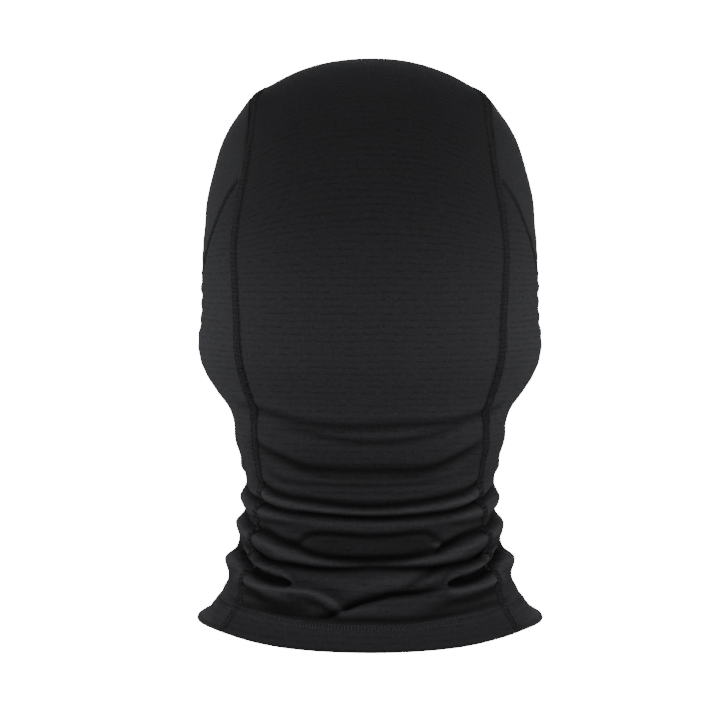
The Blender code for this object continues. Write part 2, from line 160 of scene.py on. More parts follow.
# ---- the worn form, as in the CAD, with the neck smooth: its rolls come from FOLDS -----
# height: (half width, depth behind, depth in front, roundness)
STATIONS = {
    0: (85.2, 86, 84, 1.95),
    2.2: (85.2, 86, 84, 1.95),
    5: (82.7, 84.5, 83, 1.95),
    11: (76.5, 80, 80, 1.97),
    16: (73, 76, 78, 2.0),
    23: (70, 71.5, 78, 2.0),
    32: (67.5, 68.5, 80, 2.0),
    43: (65.0, 66, 84, 2.05),
    55: (63, 64, 92, 2.1),
    65: (61.8, 63.2, 97.5, 2.1),
    74: (61.8, 63.2, 99, 2.1),
    83: (64, 64.5, 98.5, 2.1),
    92: (66.8, 68, 98, 2.15),
    100: (67.5, 70, 98.5, 2.15),
    107: (69.8, 72, 98, 2.15),
    115: (75.4, 75, 97, 2.15),
    123: (80.6, 79, 96.5, 2.15),
    131: (83.9, 83, 96, 2.15),
    139: (84.9, 86, 95.5, 2.15),
    150: (83.6, 89.5, 94.5, 2.15),
    165: (83, 93, 93.5, 2.15),
    180: (82.6, 95.5, 93.5, 2.15),
    190: (82, 96.2, 94.5, 2.15),
    200: (81.2, 96.5, 95, 2.15),
}
DOME_BASE = 200 * MM
DOME_RISE = 78.5 * MM
DOME_POWER = 2.18
AXIS_Y = 6.2 * MM
PIVOT_Z = 170 * MM
SPINE_R = 90 * MM
NOSE = (130 * MM, 12 * MM, 22 * MM)
NOSE_FADE = (24 * MM, 30 * MM)
SEAM_SHARE = {0: 0.82, 8: 0.845, 16: 0.872, 24: 0.89, 33: 0.9, 43: 0.895, 53: 0.883,
              63: 0.872, 75: 0.86, 88: 0.835, 102: 0.816, 114: 0.76, 124: 0.734, 134: 0.727,
              150: 0.742, 172: 0.76}
SEAM_HALF = {160: 62.7, 172: 63, 189: 63.5, 207: 62, 221: 60, 235: 58, 249: 56.3,
             267: 54.3, 297: 52.5, 340: 51.5, 390: 50, 430: 50}
TEMPLE_PATH = ((65, 212), (56, 201.5), (42, 186.5), (32, 177), (16, 166), (-2, 159.5),
               (-22, 158), (-42, 163))
EYE_HALF = 64 * MM
EYE_Z = 175 * MM
EYE_UP = 26 * MM
EYE_DOWN = 24 * MM
EYE_POWER = 2.4
BRIDGE = (7 * MM, 15 * MM)
JUNCTION_S = 229 * MM
LEVEL_ROWS = 91 * MM

CLOTH = 0.9 * MM
HEM_INNER = 2.2 * MM      # how far inside the outer layer the turned-up layer lies
HEM_TOP = 13.4 * MM
HEM_BULGE = 1.05 * MM     # how far the fold of the hem's edge hangs down
HEM_ROWS = (10.7, 12.9)   # heights of the hem's needle rows in mm
HEM_ROWS_INSIDE = (11.0, 13.9)
COVER_HALF = 3.2 * MM     # half widths of the seam covers
TEMPLE_COVER_HALF = 1.6 * MM
LOOPER_REACH = 0.95       # share of that which the looper threads cross
BINDING_CLEAR = 8.6 * MM  # seam covers stop this far from the eye opening's edge

# ---- folds of the neck
# Each fold runs round the neck through (angle from the back in degrees, height in mm, lift
# in mm); a negative lift is a crease. Before that: 2 if it is mirrored on the other side,
# its width above and below the line in mm, and how far the cloth above a crease is tucked
# down over it.
FOLDS = (
    # shallow creases where the back of the head goes over into the nape
    (1, 3.6, 2.6, 0.6, ((62, 112, 0), (53, 110, -0.9), (38, 107, -1.3), (27, 104, -1.4),
     (11, 102, -1.4), (-15, 103, -1.3), (-32, 104, -1.4), (-54, 109, -1), (-62, 112, 0))),
    (1, 2.4, 2.2, 0.4, ((42, 103, 0), (32, 101, -0.6), (10, 96, -1.1), (0, 95, -1.2),
     (-24, 98, -0.9), (-34, 101, -0.5), (-42, 103, 0))),
    (1, 4.2, 3, 1.2, ((60, 96, 0), (48, 90, -1.6), (37, 85, -2.4), (28, 82, -2.6),
     (13, 81, -2.2), (0, 81, -2.1), (-30, 83, -2.3), (-45, 90, -1.6), (-56, 95, 0))),
    (2, 0.9, 0.9, 0, ((28, 79, 0), (20, 78, -0.35), (0, 77.4, -0.35))),
    (1, 1.5, 1.4, 0, ((52, 80, 0), (45, 77, -0.6), (22, 74.6, -0.9), (0, 74.4, -0.8),
     (-20, 75, -0.8), (-44, 78, 0))),
    (2, 0.9, 0.9, 0, ((34, 73.5, 0), (22, 71.6, -0.4), (0, 71, -0.4))),
    # the two strong creases with a thin roll between them
    (1, 3.4, 1.6, 2.2, ((64, 77, 0), (55, 72.4, -2.3), (50, 70.4, -2.7), (45, 69, -2.8),
     (36, 67.8, -2.6), (28, 67.2, -2.4), (12, 65.6, -2.4), (0, 65, -2.3), (-14, 65.8, -2.4),
     (-29, 67.4, -2.4), (-39, 68.8, -2.6), (-45, 69.6, -2.6), (-54, 72, -2.2), (-63, 76, 0))),
    (1, 1.3, 1.3, 0, ((60, 70, 0), (52, 67.4, 1.2), (30, 64.3, 1.2), (0, 62.6, 1.2),
     (-30, 64.3, 1.2), (-52, 67.6, 1.2), (-60, 70, 0))),
    (1, 2.2, 2, 2.2, ((98, 70, 0), (84, 68.4, -1.2), (75, 66.4, -2.8), (60, 64.6, -3.6),
     (53, 63.4, -3.7), (45, 62.1, -3.6), (36, 61.4, -3.2), (28, 61.2, -3), (0, 60, -3),
     (-29, 61, -3), (-39, 61.6, -3.2), (-45, 62.6, -3.5), (-58, 64.8, -3.6), (-67, 66.4, -3.2),
     (-76, 67.6, -2), (-84, 68.2, -0.6), (-98, 70, 0))),
    # the roll under them, which stands out at the sides of the neck
    (2, 4.2, 3.4, 0, ((60, 60.5, 0), (76, 61.6, 1.8), (88, 62.5, 2.4), (98, 62.5, 2.2),
     (125, 59, 1.8), (180, 56, 1.2))),
    (1, 2.8, 2.8, 0, ((74, 59, 0), (50, 58.8, 1.6), (30, 57.6, 0.9), (0, 56.4, 0.6),
     (-30, 57.6, 0.9), (-50, 58.8, 1.6), (-74, 59, 0))),
    (2, 1.8, 1.6, 0.4, ((104, 57.5, 0), (90, 57.4, -1.6), (76, 56.4, -1.5), (63, 55.6, -1.3),
     (49, 55.7, -1.2), (38, 55.4, -0.9), (30, 55.4, 0))),
    # a flat lens-shaped pocket in the middle
    (1, 1.9, 1.7, 1, ((36, 46.8, 0), (31, 47.9, -1), (29, 49.7, -1.5), (26, 51.3, -1.8),
     (21, 52.2, -2), (13, 51.9, -2), (-1, 51.2, -2.1), (-13, 51.9, -2), (-19, 52.5, -1.8),
     (-25, 51.9, -1.6), (-28, 50, -1.4), (-32, 48, -0.9), (-37, 47.4, 0))),
    (1, 3.6, 3.6, 0, ((32, 47, 0), (22, 46.8, -0.8), (0, 46.4, -1), (-22, 47, -0.8),
     (-32, 47.4, 0))),
    (1, 1.6, 1.6, 0, ((-24, 46, 0), (-29, 46.2, 1.2), (-33, 46.6, 0))),
    # the slanting creases either side, which run on under the lens
    (1, 2.9, 2.2, 1.6, ((98, 55, 0), (88, 54.7, -2.2), (76, 53.3, -3.2), (67, 51.7, -3.4),
     (56, 50.8, -3.4), (49, 50.2, -3.3), (44, 48.7, -3.2), (37, 47, -3.1), (33, 46.1, -3),
     (30, 45, -2.6), (26, 43.1, -2.8), (19, 41.7, -3.4), (10, 41.2, -3.8), (0, 41.3, -4),
     (-8, 41.5, -3.8), (-17, 41.8, -3.2), (-23, 42.6, -2.4), (-28, 43.4, -1.3),
     (-33, 43.6, 0))),
    (1, 2.9, 2.2, 1.6, ((-98, 55, 0), (-88, 54.7, -1.8), (-76, 53.4, -3), (-67, 51.8, -3.4),
     (-60, 50.9, -3.4), (-49, 50.2, -3.4), (-41, 48.8, -3.4), (-36, 47, -3.5),
     (-32, 45.5, -3.4), (-29, 43.8, -2.2), (-26, 42.4, 0))),
    # the rolls under those creases
    (2, 3.4, 4.6, 0, ((62, 47, 0), (76, 48.6, 1.8), (88, 49.4, 2.9), (98, 49.4, 2.7),
     (125, 45, 2), (180, 40, 1))),
    (2, 2.2, 2, 0, ((80, 47.4, 0), (68, 47, 1.1), (56, 45.8, 1.5), (46, 43.8, 1.6),
     (37, 41.8, 1.6), (28, 40.2, 1.5), (18, 39.3, 1.4), (8, 39, 1.3), (0, 39.2, 1.2))),
    # the long crease below, right across
    (1, 2.2, 2.4, 2.4, ((98, 43, 0), (88, 42.6, -0.2), (78, 42.2, -1.4), (64, 41, -2.6),
     (56, 39.4, -3), (49, 37.8, -3.6), (41, 37.4, -4), (34, 37.4, -4), (27, 36.9, -3.9),
     (20, 36.5, -3.6), (10, 36.8, -3.2), (0, 37.5, -3), (-8, 37.3, -3.1), (-16, 36.9, -3.2),
     (-27, 36.7, -3.7), (-38, 37.2, -3.8), (-47, 37.6, -3.2), (-55, 38.8, -2.8),
     (-63, 40.6, -2.4), (-78, 42.2, -1.4), (-88, 42.6, -0.2), (-98, 43, 0))),
    # soft hollows beside it
    (2, 2.8, 2.4, 0, ((74, 42.4, 0), (66, 41.2, -2.4), (56, 38.8, -2.6), (46, 37.2, -1.2),
     (36, 37, 0))),
    (1, 2.2, 2.2, 0, ((-10, 27.6, 0), (-15, 29.4, -1.2), (-21, 32, -1.5), (-28, 35.4, -1.4),
     (-34, 37.6, 0))),
    # the roll that stands out furthest at the sides, with a deep pocket behind its rim
    (2, 4.2, 5.2, 0, ((72, 30.6, 0), (79, 30.8, 2.4), (85, 30.8, 4.3), (92, 30.6, 4.6),
     (104, 30, 3.8), (130, 27, 2.4), (180, 25, 1.2))),
    (2, 1.1, 1, 0, ((78, 42.4, 0), (68, 42, 1.8), (62, 39.8, 3.2), (58, 37.4, 4.2),
     (54, 35.4, 4.4), (48, 34, 4.4), (42, 33, 4.4), (37, 32.1, 4.2), (34, 30.8, 3.4),
     (31.6, 29.2, 1.8), (29.6, 28, 0))),
    (2, 1.7, 1.7, 0.4, ((84, 36.2, 0), (78, 36.6, -3.4), (70, 36.2, -5.4), (65, 34.8, -5.6),
     (56, 32, -5.6), (50, 30.8, -5.6), (44, 30, -5.4), (37, 29.4, -4.8), (33.6, 28.6, -3.4),
     (31, 28, 0))),
    (2, 1.5, 1.6, 0, ((80, 34, 0), (70, 33.6, -3.4), (65, 32.2, -3.8), (56, 29.4, -4),
     (50, 28.2, -4), (44, 27.5, -3.8), (37, 27, -3.2), (33.6, 27, -1.8), (31.6, 27.2, 0))),
    (2, 3.4, 3, 0, ((90, 36.6, 0), (84, 37.4, -2.6), (76, 36.4, -3.4), (69, 34.4, -2.4),
     (60, 32, 0))),
    # the ridge under the pocket, which runs in to the bottom of the middle
    (1, 2.4, 2, 0, ((76, 25, 0), (62, 25, 1.8), (48, 24.8, 2.2), (40, 24.4, 2.4),
     (30, 24.4, 2.8), (22, 23.6, 3.2), (15, 21.2, 3.2), (11, 19, 2.2), (8, 17.4, 0))),
    (1, 2.4, 2, 0, ((-76, 25, 0), (-62, 25, 1.8), (-50, 24.8, 2.2), (-43, 24.4, 2.2),
     (-34, 24.6, 1.6), (-26, 25.4, 0))),
    (1, 4.6, 4.6, 0, ((34, 30.4, 0), (20, 28.6, 1.7), (5, 28.4, 1.8), (-8, 30.4, 1.4),
     (-20, 31, 0.8), (-32, 31.4, 0))),
    (1, 1.1, 1, 0.3, ((44, 23.6, 0), (35, 22.8, -1), (27, 22.4, -1.2), (19, 20.6, -1.3),
     (13, 17.8, -1.2), (10, 16, 0))),
    (1, 2.8, 2.8, 0.6, ((70, 24.4, 0), (60, 23.2, -2), (52, 22, -2.6), (45, 20, -2.8),
     (34, 18.4, -2.5), (26, 18, -1.7), (18, 16, 0))),
    (1, 2.8, 2.8, 0.6, ((-70, 24.2, 0), (-60, 23.2, -2), (-50, 21.9, -2.5), (-41, 21, -2.4),
     (-33, 20.2, -2), (-25, 18.4, -1.4), (-16, 17.6, 0))),
    # the slanting overlap at the bottom of the middle
    (1, 3, 1.6, 2.4, ((21, 14.6, 0), (18, 15.2, -1.6), (14, 16.8, -2.8), (9, 19.6, -3.4),
     (4, 21.9, -3.5), (-2, 23.7, -3.6), (-8, 25.3, -3.8), (-13, 25.6, -3.8), (-19, 25.8, -3.2),
     (-24, 26.4, -2.2), (-31, 27, 0))),
    # the furrow along the top of the hem
    (1, 2.3, 1.5, 0.6, ((70, 16, 0), (61, 15.8, -1.2), (48, 15.8, -1.6), (40, 15.6, -1.8),
     (30, 15, -2.3), (20, 14, -2.6), (12, 13.9, -2.4), (3, 14.2, -2.2), (-6, 14, -2.2),
     (-14, 14, -2.2), (-24, 14.8, -2), (-34, 15.6, -1.6), (-52, 16.4, -1.4), (-62, 16.2, -1),
     (-70, 16.4, 0))),
    (2, 2.4, 2.6, 0, ((78, 17, 0), (90, 17, 0.5), (104, 17, 1), (122, 17, 0.8), (150, 17, 0))),
    # round the sides and the front, where the neck is gathered less
    (2, 2.6, 2.4, 1.2, ((94, 55.6, 0), (104, 54.6, -1.6), (130, 52, -1.5), (180, 49, -1))),
    (2, 2.6, 2.4, 1.2, ((92, 40.6, 0), (102, 39.6, -1.9), (130, 36, -1.6), (180, 33, -0.8))),
    (2, 3.4, 3, 0, ((70, 78.4, 0), (82, 78.4, 1.2), (105, 77, 1.1), (140, 72, 1),
     (180, 68, 0.6))),
    (2, 2.8, 2.4, 0.8, ((104, 22, 0), (118, 22.4, -1.3), (150, 23, -1.2), (180, 22, -0.9))),
    (2, 3, 2.6, 0.8, ((112, 88, 0), (130, 86, -1.1), (160, 84, -1.1), (180, 83, -0.8))),
)
# Painted light and shade of the cloth by height: paler over the widest part of the head, darker at the crown and the
# neck. In part it also stands for the knit paling where it is stretched. Height mm, share.
STRETCH_AND_PAINTED_LIGHT = {0: 1.0, 12: 0.98, 22: 0.82, 45: 0.74, 62: 0.78, 70: 0.92, 80: 1.04, 90: 1.12,
        101: 1.22, 113: 1.44, 124: 1.5, 135: 1.5, 146: 1.42, 157: 1.34, 168: 1.26, 179: 1.12,
        190: 1.0, 200: 0.88, 215: 0.78, 240: 0.72, 255: 0.78, 268: 0.95, 280: 1.05}
LIP_DROP = 0.14           # of a crease's depth, for each mm of tuck
LIP_LIFT = 0.2
FOLD_SPAN = 4.4 * MM      # a fold is a hollow or a crest, for its painted shade or highlight, compared with the cloth this far off
RELIEF_PAINTED_LIGHT = 0.62       # painted highlight on crests and painted shade in hollows, as a share of paleness for each mm above or below the cloth around
HOLLOW_PAINTED_SHADE = 0.2        # painted shade in hollows, as a share of paleness for each mm below the smooth form
# How deep a crease may go near the hem, in mm: at least this, and so much more for each
# mm above two heights.
ROOM_LEAST = 0.6
ROOM_LOW, ROOM_LOW_FROM = 0.4, 12
ROOM_HIGH, ROOM_HIGH_FROM = 1.4, 15


def smooth(table, x, scale=MM):
    """A smooth curve through a table."""
    xs = np.array(sorted(table), float) * scale
    ys = np.array([table[k] for k in sorted(table)], float)
    gap = np.diff(xs)
    rise = np.diff(ys) / gap
    slope = np.empty_like(ys)
    slope[0] = rise[0] if scale == MM else 0
    slope[-1] = 0
    slope[1:-1] = (rise[:-1] * gap[1:] + rise[1:] * gap[:-1]) / (gap[:-1] + gap[1:])
    i = np.clip(np.searchsorted(xs, x) - 1, 0, len(xs) - 2)
    t = np.clip((x - xs[i]) / gap[i], 0, 1)
    return ((1 + 2 * t) * (1 - t) ** 2 * ys[i] + t * (1 - t) ** 2 * gap[i] * slope[i]
            + t * t * (3 - 2 * t) * ys[i + 1] + t * t * (t - 1) * gap[i] * slope[i + 1])


def hump(x, middle, width):
    """A bell curve, 1 in the middle."""
    return np.exp(-((x - middle) / width) ** 2)


def fade(x, start, span):
    """0 up to the start and 1 from a span later."""
    return np.clip((x - start) / span, 0, 1)


def ripple(x, pitch, phase=0):
    return np.sin(x * TURN / pitch + phase)


def turn_of(p):
    """Degrees round the head from the back, to the left above 0."""
    return np.degrees(np.arctan2(p[..., 0], p[..., 1] - AXIS_Y))


def column(i):
    """One column of the stations, by height."""
    return {height: row[i] for height, row in STATIONS.items()}


WIDTH, BEHIND, FRONT, POWER = (column(i) for i in range(4))


def form(p):
    """Below 0 inside the smooth worn form, 0 on it, above 0 outside."""
    x, y, z = p[..., 0], p[..., 1] - AXIS_Y, p[..., 2]
    level = np.clip(z, 0, DOME_BASE)
    dz = z - NOSE[0]
    reach = np.where(dz > 0, NOSE_FADE[0], NOSE_FADE[1])
    nose = NOSE[1] * np.exp(-(dz / reach) ** 2 - (x / NOSE[2]) ** 2)
    width = smooth(WIDTH, level) * MM
    depth = np.where(y > 0, smooth(BEHIND, level) * MM, smooth(FRONT, level) * MM + nose)
    power = smooth(POWER, level)
    ring = ((np.abs(x) / width) ** power + (np.abs(y) / depth) ** power) ** (1 / power)
    over = np.maximum(z - DOME_BASE, 0) / DOME_RISE
    return (ring ** DOME_POWER + over ** DOME_POWER) ** (1 / DOME_POWER) - 1


def slope_of(p):
    step = 0.3 * MM
    axes = np.eye(3) * step
    return np.stack([form(p + a) - form(p - a) for a in axes], -1) / (2 * step)


def unit(v):
    return v / np.linalg.norm(v, axis=-1, keepdims=True)


def normal(p):
    return unit(slope_of(p))


def settle(p):
    """Move points that are near the form onto it."""
    for _ in range(3):
        g = slope_of(p)
        p = p - g * (form(p) / (g ** 2).sum(-1))[..., None]
    return p


def shoot(start, way):
    """Where rays from inside reach the form."""
    start, way = np.broadcast_arrays(start, way)
    low = np.zeros(way.shape[:-1])
    high = low + 0.17
    for _ in range(34):
        mid = (low + high) / 2
        inside = form(start + way * mid[..., None]) < 0
        low = np.where(inside, mid, low)
        high = np.where(inside, high, mid)
    return start + way * low[..., None]


def stack3(x, y, z):
    return np.stack(np.broadcast_arrays(x, y, z), -1)


def spine_point(s, x):
    """The point behind and over the head, s up its spine and x to the side."""
    turn = np.maximum(s - PIVOT_Z, 0) / SPINE_R
    start = stack3(x, AXIS_Y, np.minimum(s, PIVOT_Z))
    return shoot(start, stack3(0 * turn, np.cos(turn), np.sin(turn)))


def spine_of(p):
    turn = np.arctan2(p[..., 2] - PIVOT_Z, p[..., 1] - AXIS_Y)
    return np.where(p[..., 2] < PIVOT_Z, p[..., 2], PIVOT_Z + turn * SPINE_R)


def chart_of(p):
    """Angle from the back and height up the cloth."""
    x, y, z = p[..., 0], p[..., 1] - AXIS_Y, p[..., 2] - PIVOT_Z
    lift = np.arctan2(z, np.hypot(x, y))
    height = np.where(z < 0, p[..., 2], PIVOT_Z + lift * SPINE_R)
    return np.stack([np.arctan2(x, y), height], -1)


def chart_point(c):
    angle, height = c[..., 0], c[..., 1]
    lift = np.maximum(height - PIVOT_Z, 0) / SPINE_R
    start = stack3(0 * angle, AXIS_Y, np.minimum(height, PIVOT_Z))
    flat = np.cos(lift)
    return shoot(start, stack3(flat * np.sin(angle), flat * np.cos(angle), np.sin(lift)))


# ---- curves

def lengths(points):
    steps = np.linalg.norm(np.diff(points, axis=0), axis=1)
    return np.concatenate([[0], np.cumsum(steps)])


def along(points, at):
    """Points of a curve at given lengths."""
    run = lengths(points)
    return np.stack([np.interp(at, run, points[:, k]) for k in range(points.shape[1])], -1)


def round_off(points, count=240, passes=60):
    curve = along(points, np.linspace(0, lengths(points)[-1], count))
    for _ in range(passes):
        curve[1:-1] = (curve[:-2] + 2 * curve[1:-1] + curve[2:]) / 4
    return curve


def eye_edge(angle):
    c, s = np.cos(angle), np.sin(angle)
    x = EYE_HALF * np.sign(c) * np.abs(c) ** (2 / EYE_POWER)
    rise = np.abs(s) ** (2 / EYE_POWER)
    z = EYE_Z + np.where(s > 0, EYE_UP, -EYE_DOWN) * rise
    z = z + np.where(s < 0, BRIDGE[0] * np.exp(-(x / BRIDGE[1]) ** 2), 0)
    return shoot(stack3(x, AXIS_Y, z), np.array([0.0, -1.0, 0.0]))


def main_half(s):
    """Half width of the centre panel, s up the spine."""
    below = smooth(SEAM_SHARE, np.minimum(s, PIVOT_Z)) * smooth(WIDTH, np.minimum(s, PIVOT_Z))
    return np.where(s < PIVOT_Z, below, smooth(SEAM_HALF, np.maximum(s, PIVOT_Z))) * MM


# ---- the pattern

EYE_CURVE = eye_edge(np.linspace(-math.pi / 2, math.pi / 2, 721))
CORNER = EYE_CURVE[360]
upper_eye = EYE_CURVE[360:]
brow_at = np.argmax(upper_eye[:, 0] < 50 * MM)
BROW_CORNER = upper_eye[brow_at]
CROWN_END = float(spine_of(BROW_CORNER))
NECK_STEP = 0.95 * MM
low_rows = np.concatenate([np.arange(1.2, 116, NECK_STEP / MM), np.arange(116, 229, 1.9),
                           [229]]) * MM
crown_rows = np.linspace(JUNCTION_S, CROWN_END, 100)[1:]
SPINE = np.concatenate([low_rows, crown_rows])
J = len(low_rows) - 1
MAIN_SEAM = spine_point(SPINE, main_half(SPINE))
MAIN_SEAM[-1] = BROW_CORNER
side_guides = [shoot(np.array([0, y * MM, z * MM]), np.array([1.0, 0, 0]))
               for y, z in TEMPLE_PATH]
temple_line = round_off(np.array([MAIN_SEAM[J], *side_guides, CORNER]))
TEMPLE_SEAM = settle(along(temple_line, np.linspace(0, lengths(temple_line)[-1], 100)))
lower_eye = EYE_CURVE[:361][::-1]
FRONT_SEAM_TOP = lower_eye[-1]


def centre_grid(columns=101):
    u = np.linspace(-1, 1, columns)
    brow = upper_eye[brow_at:][::-1]
    xs = np.abs(u) * BROW_CORNER[0]
    edge = np.stack([np.interp(xs, brow[:, 0], brow[:, k]) for k in range(3)], -1)
    edge[:, 0] = u * BROW_CORNER[0]
    s_edge = spine_of(edge)
    half = np.append(main_half(SPINE[:-1]), BROW_CORNER[0])
    near = fade(SPINE, CROWN_END - 60 * MM, 60 * MM) ** 2
    s = SPINE[:, None] + near[:, None] * (s_edge - CROWN_END)[None, :]
    return spine_point(s, half[:, None] * u[None, :])


def side_grid(columns=141):
    line = np.concatenate([TEMPLE_SEAM, lower_eye[1:]])
    top = chart_of(settle(along(line, np.linspace(0, lengths(line)[-1], columns))))
    top[-1, 0] = math.pi
    left = chart_of(MAIN_SEAM[:J + 1])
    rows = SPINE[:J + 1]
    part = fade(rows, LEVEL_ROWS, JUNCTION_S - LEVEL_ROWS)
    right = np.where(rows < LEVEL_ROWS, rows, LEVEL_ROWS + part * (top[-1, 1] - LEVEL_ROWS))
    c = np.linspace(0, 1, columns)
    angle = left[:, :1] + (math.pi - left[:, :1]) * c
    height = left[:, 1:] + (right[:, None] - left[:, 1:]) * c
    bend = (part * part * (3 - 2 * part))[:, None]
    angle = angle + bend * (top[:, 0] - angle[-1])
    height = height + bend * (top[:, 1] - height[-1])
    height[:, 0] = left[:, 1]
    return chart_point(np.stack([angle, height], -1))


def temple_grid(rows=48):
    low = chart_of(TEMPLE_SEAM[1:])
    high = chart_of(MAIN_SEAM[J + 1:])
    v = np.linspace(0, 1, rows)[:, None, None]
    body = low[None] * (1 - v) + high[None] * v
    outer = upper_eye[:brow_at + 1]
    edge = chart_of(along(outer, np.linspace(0, lengths(outer)[-1], rows)))
    near = np.clip(1 - (len(low) - 1 - np.arange(len(low))) / 20, 0, 1) ** 2
    body = body + near[None, :, None] * (edge - body[:, -1])[:, None, :]
    return chart_point(body)


# ---- folds, seam grooves and small unevenness, as moves of points on the form

FLIP = np.array([-1.0, 1, 1])
FRONT_SEAM = chart_point(np.stack([np.full(200, math.pi),
                                   np.linspace(1.2 * MM, FRONT_SEAM_TOP[2], 200)], -1))
SEAMS = {
    "main_seam_left": MAIN_SEAM,
    "main_seam_right": MAIN_SEAM * FLIP,
    "temple_seam_left": TEMPLE_SEAM,
    "temple_seam_right": TEMPLE_SEAM * FLIP,
    "front_seam": FRONT_SEAM,
}


class SeamFinder:
    """The nearest seam to a point: how far away it is, and how far along."""

    def __init__(self, step=0.8 * MM):
        runs = [np.arange(0, lengths(line)[-1], step) for line in SEAMS.values()]
        lines = [along(line, run) for line, run in zip(SEAMS.values(), runs)]
        self.points = np.concatenate(lines)
        self.runs = np.concatenate(runs)
        self.ahead = np.concatenate([unit(np.gradient(line, axis=0)) for line in lines])
        self.tree = kdtree.KDTree(len(self.points))
        for i, p in enumerate(self.points):
            self.tree.insert(p, i)
        self.tree.balance()

    def near(self, p):
        flat = p.reshape(-1, 3)
        index = np.array([self.tree.find(q)[1] for q in flat])
        off = flat - self.points[index]
        ahead = self.ahead[index]
        run = (off * ahead).sum(-1)
        across = np.linalg.norm(off - ahead * run[:, None], axis=-1)
        return across.reshape(p.shape[:-1]), (self.runs[index] + run).reshape(p.shape[:-1])


finder = SeamFinder()


def fold_moves(p):
    """Lift along the form's normal and drop in height, both in metres."""
    angle = turn_of(p)
    z = p[..., 2] / MM
    lift = np.zeros(angle.shape)
    drop = np.zeros(angle.shape)
    for sides, up, down, tuck, points in FOLDS:
        heights = {a: h for a, h, _ in points}
        amounts = {a: m for a, _, m in points}
        for turn in (1, -1)[:sides]:
            at = angle * turn
            off = z - smooth(heights, at, 1)
            amount = smooth(amounts, at, 1)
            first = at >= min(heights) if turn > 0 else at > min(heights)
            inside = first & (at <= max(heights))
            amount = np.where(inside, amount, 0)
            wide = np.where(off > 0, up, down)
            if points[1][2] < 0:
                shape = np.exp(-(np.abs(off) / wide) ** 1.6)
            else:
                shape = hump(off, 0, wide)
            lift += amount * shape
            if tuck:
                lip = hump(off, 0.9 * up, 0.95 * up)
                drop += tuck * np.abs(amount) * LIP_DROP * lip
                lift += LIP_LIFT * np.abs(amount) * lip
    # the outer cloth stays clear of the turned-up layer behind it
    room = (ROOM_LEAST + ROOM_LOW * np.maximum(z - ROOM_LOW_FROM, 0)
            + ROOM_HIGH * np.maximum(z - ROOM_HIGH_FROM, 0))
    lift = np.maximum(lift, -room)
    return lift * MM * fade(z, 8.5, 4.5), drop * MM * fade(z, 15, 5)


def gathered(fold, step):
    """Painted shade and highlight of the folds, as the share of its colour that cloth keeps: low in hollows, where
    painted shade falls, high on crests, which get a painted highlight. The folds are given in rows up the cloth, a
    step apart."""
    reach = int(round(3 * FOLD_SPAN / step))
    kernel = np.exp(-(np.arange(-reach, reach + 1) * step / FOLD_SPAN) ** 2)
    kernel /= kernel.sum()
    padded = np.pad(fold, ((reach, reach), (0, 0)), mode="edge")
    around = sum(w * padded[k:k + len(fold)] for k, w in enumerate(kernel))
    # painted highlight above the cloth around, painted shade below it, and more painted shade the deeper the cloth
    # sinks
    relief = (fold - around) / MM
    sunk = np.clip(-fold / MM, 0, 4)
    return np.clip(np.exp(RELIEF_PAINTED_LIGHT * relief - HOLLOW_PAINTED_SHADE * sunk), 0.1, 2.3)


def wander(p, size, seed):
    """Slow, smooth unevenness between -1 and 1."""
    rng = np.random.default_rng(seed)
    total = 0
    for _ in range(7):
        way = unit(rng.normal(size=3)) * (1 + 0.6 * rng.random()) * TURN / size
        total = total + np.sin(p @ way + rng.random() * TURN)
    return total / 4.5


def shape_moves(p, across):
    """Where the worn cloth leaves the plain form: a mitred crown, flatter temples."""
    x, z = p[..., 0], p[..., 2]
    lift = -1.5 * MM * fade(np.abs(x), 40 * MM, 30 * MM) * hump(z, 224 * MM, 15 * MM)
    lift = lift + 2.2 * MM * hump(z, 254 * MM, 7 * MM) * hump(across, 0, 9 * MM)
    curl = hump(np.abs(turn_of(p)), 84, 26)
    return lift + curl * MM * (0.9 * hump(z, 1.2 * MM, 1.6 * MM)
                               - 1.6 * hump(z, 5.6 * MM, 2.3 * MM))


def place(p):
    """Worn, folded position of points on the smooth form."""
    return place_and_fold(p)[0]


def place_and_fold(p):
    """The same, with the folds' lift at each point."""
    fold, drop = fold_moves(p)
    z = p[..., 2]
    neck = np.clip((118 * MM - z) / (20 * MM), 0, 1)
    hem = fade(z, 0, 12 * MM)
    lift = fold + neck * hem * 0.35 * MM * wander(p, 26 * MM, 3)
    lift = lift + 0.12 * MM * wander(p, 40 * MM, 8)
    ear = fade(np.abs(p[..., 0]), 66 * MM, 10 * MM) * hump(z, 158 * MM, 26 * MM)
    lift = lift + ear * 0.3 * MM * ripple(z, 7.5 * MM, 1.5 * wander(p, 60 * MM, 5))
    # the cloth sinks beside a seam and puckers along it
    across, run = finder.near(p)
    lift = lift - 0.08 * MM * hump(across, 2.9 * MM, 0.8 * MM)
    pucker = np.exp(-np.maximum(across - 2 * MM, 0) / (3.5 * MM))
    lift = lift + 0.07 * MM * pucker * ripple(run, 4.6 * MM, 2 * wander(p, 30 * MM, 11))
    lift = lift + shape_moves(p, across)
    moved = p + normal(p) * lift[..., None]
    moved[..., 2] -= drop
    # the hem's edge swings clear of the floor at the sides
    turn = np.abs(turn_of(p))
    swing = 2.6 * hump(turn, 62, 24) + 1.3 * hump(turn, 100, 30)
    low = np.clip(1 - z / (22 * MM), 0, 1)
    moved[..., 2] = np.maximum(moved[..., 2], 0.25 * MM) + swing * MM * low * low
    return moved, fold


def stretch_and_painted_light_at(z):
    """The share of painted light and shade, from the table by height, at heights."""
    return np.interp(z / MM, sorted(STRETCH_AND_PAINTED_LIGHT), [STRETCH_AND_PAINTED_LIGHT[k] for k in sorted(STRETCH_AND_PAINTED_LIGHT)])


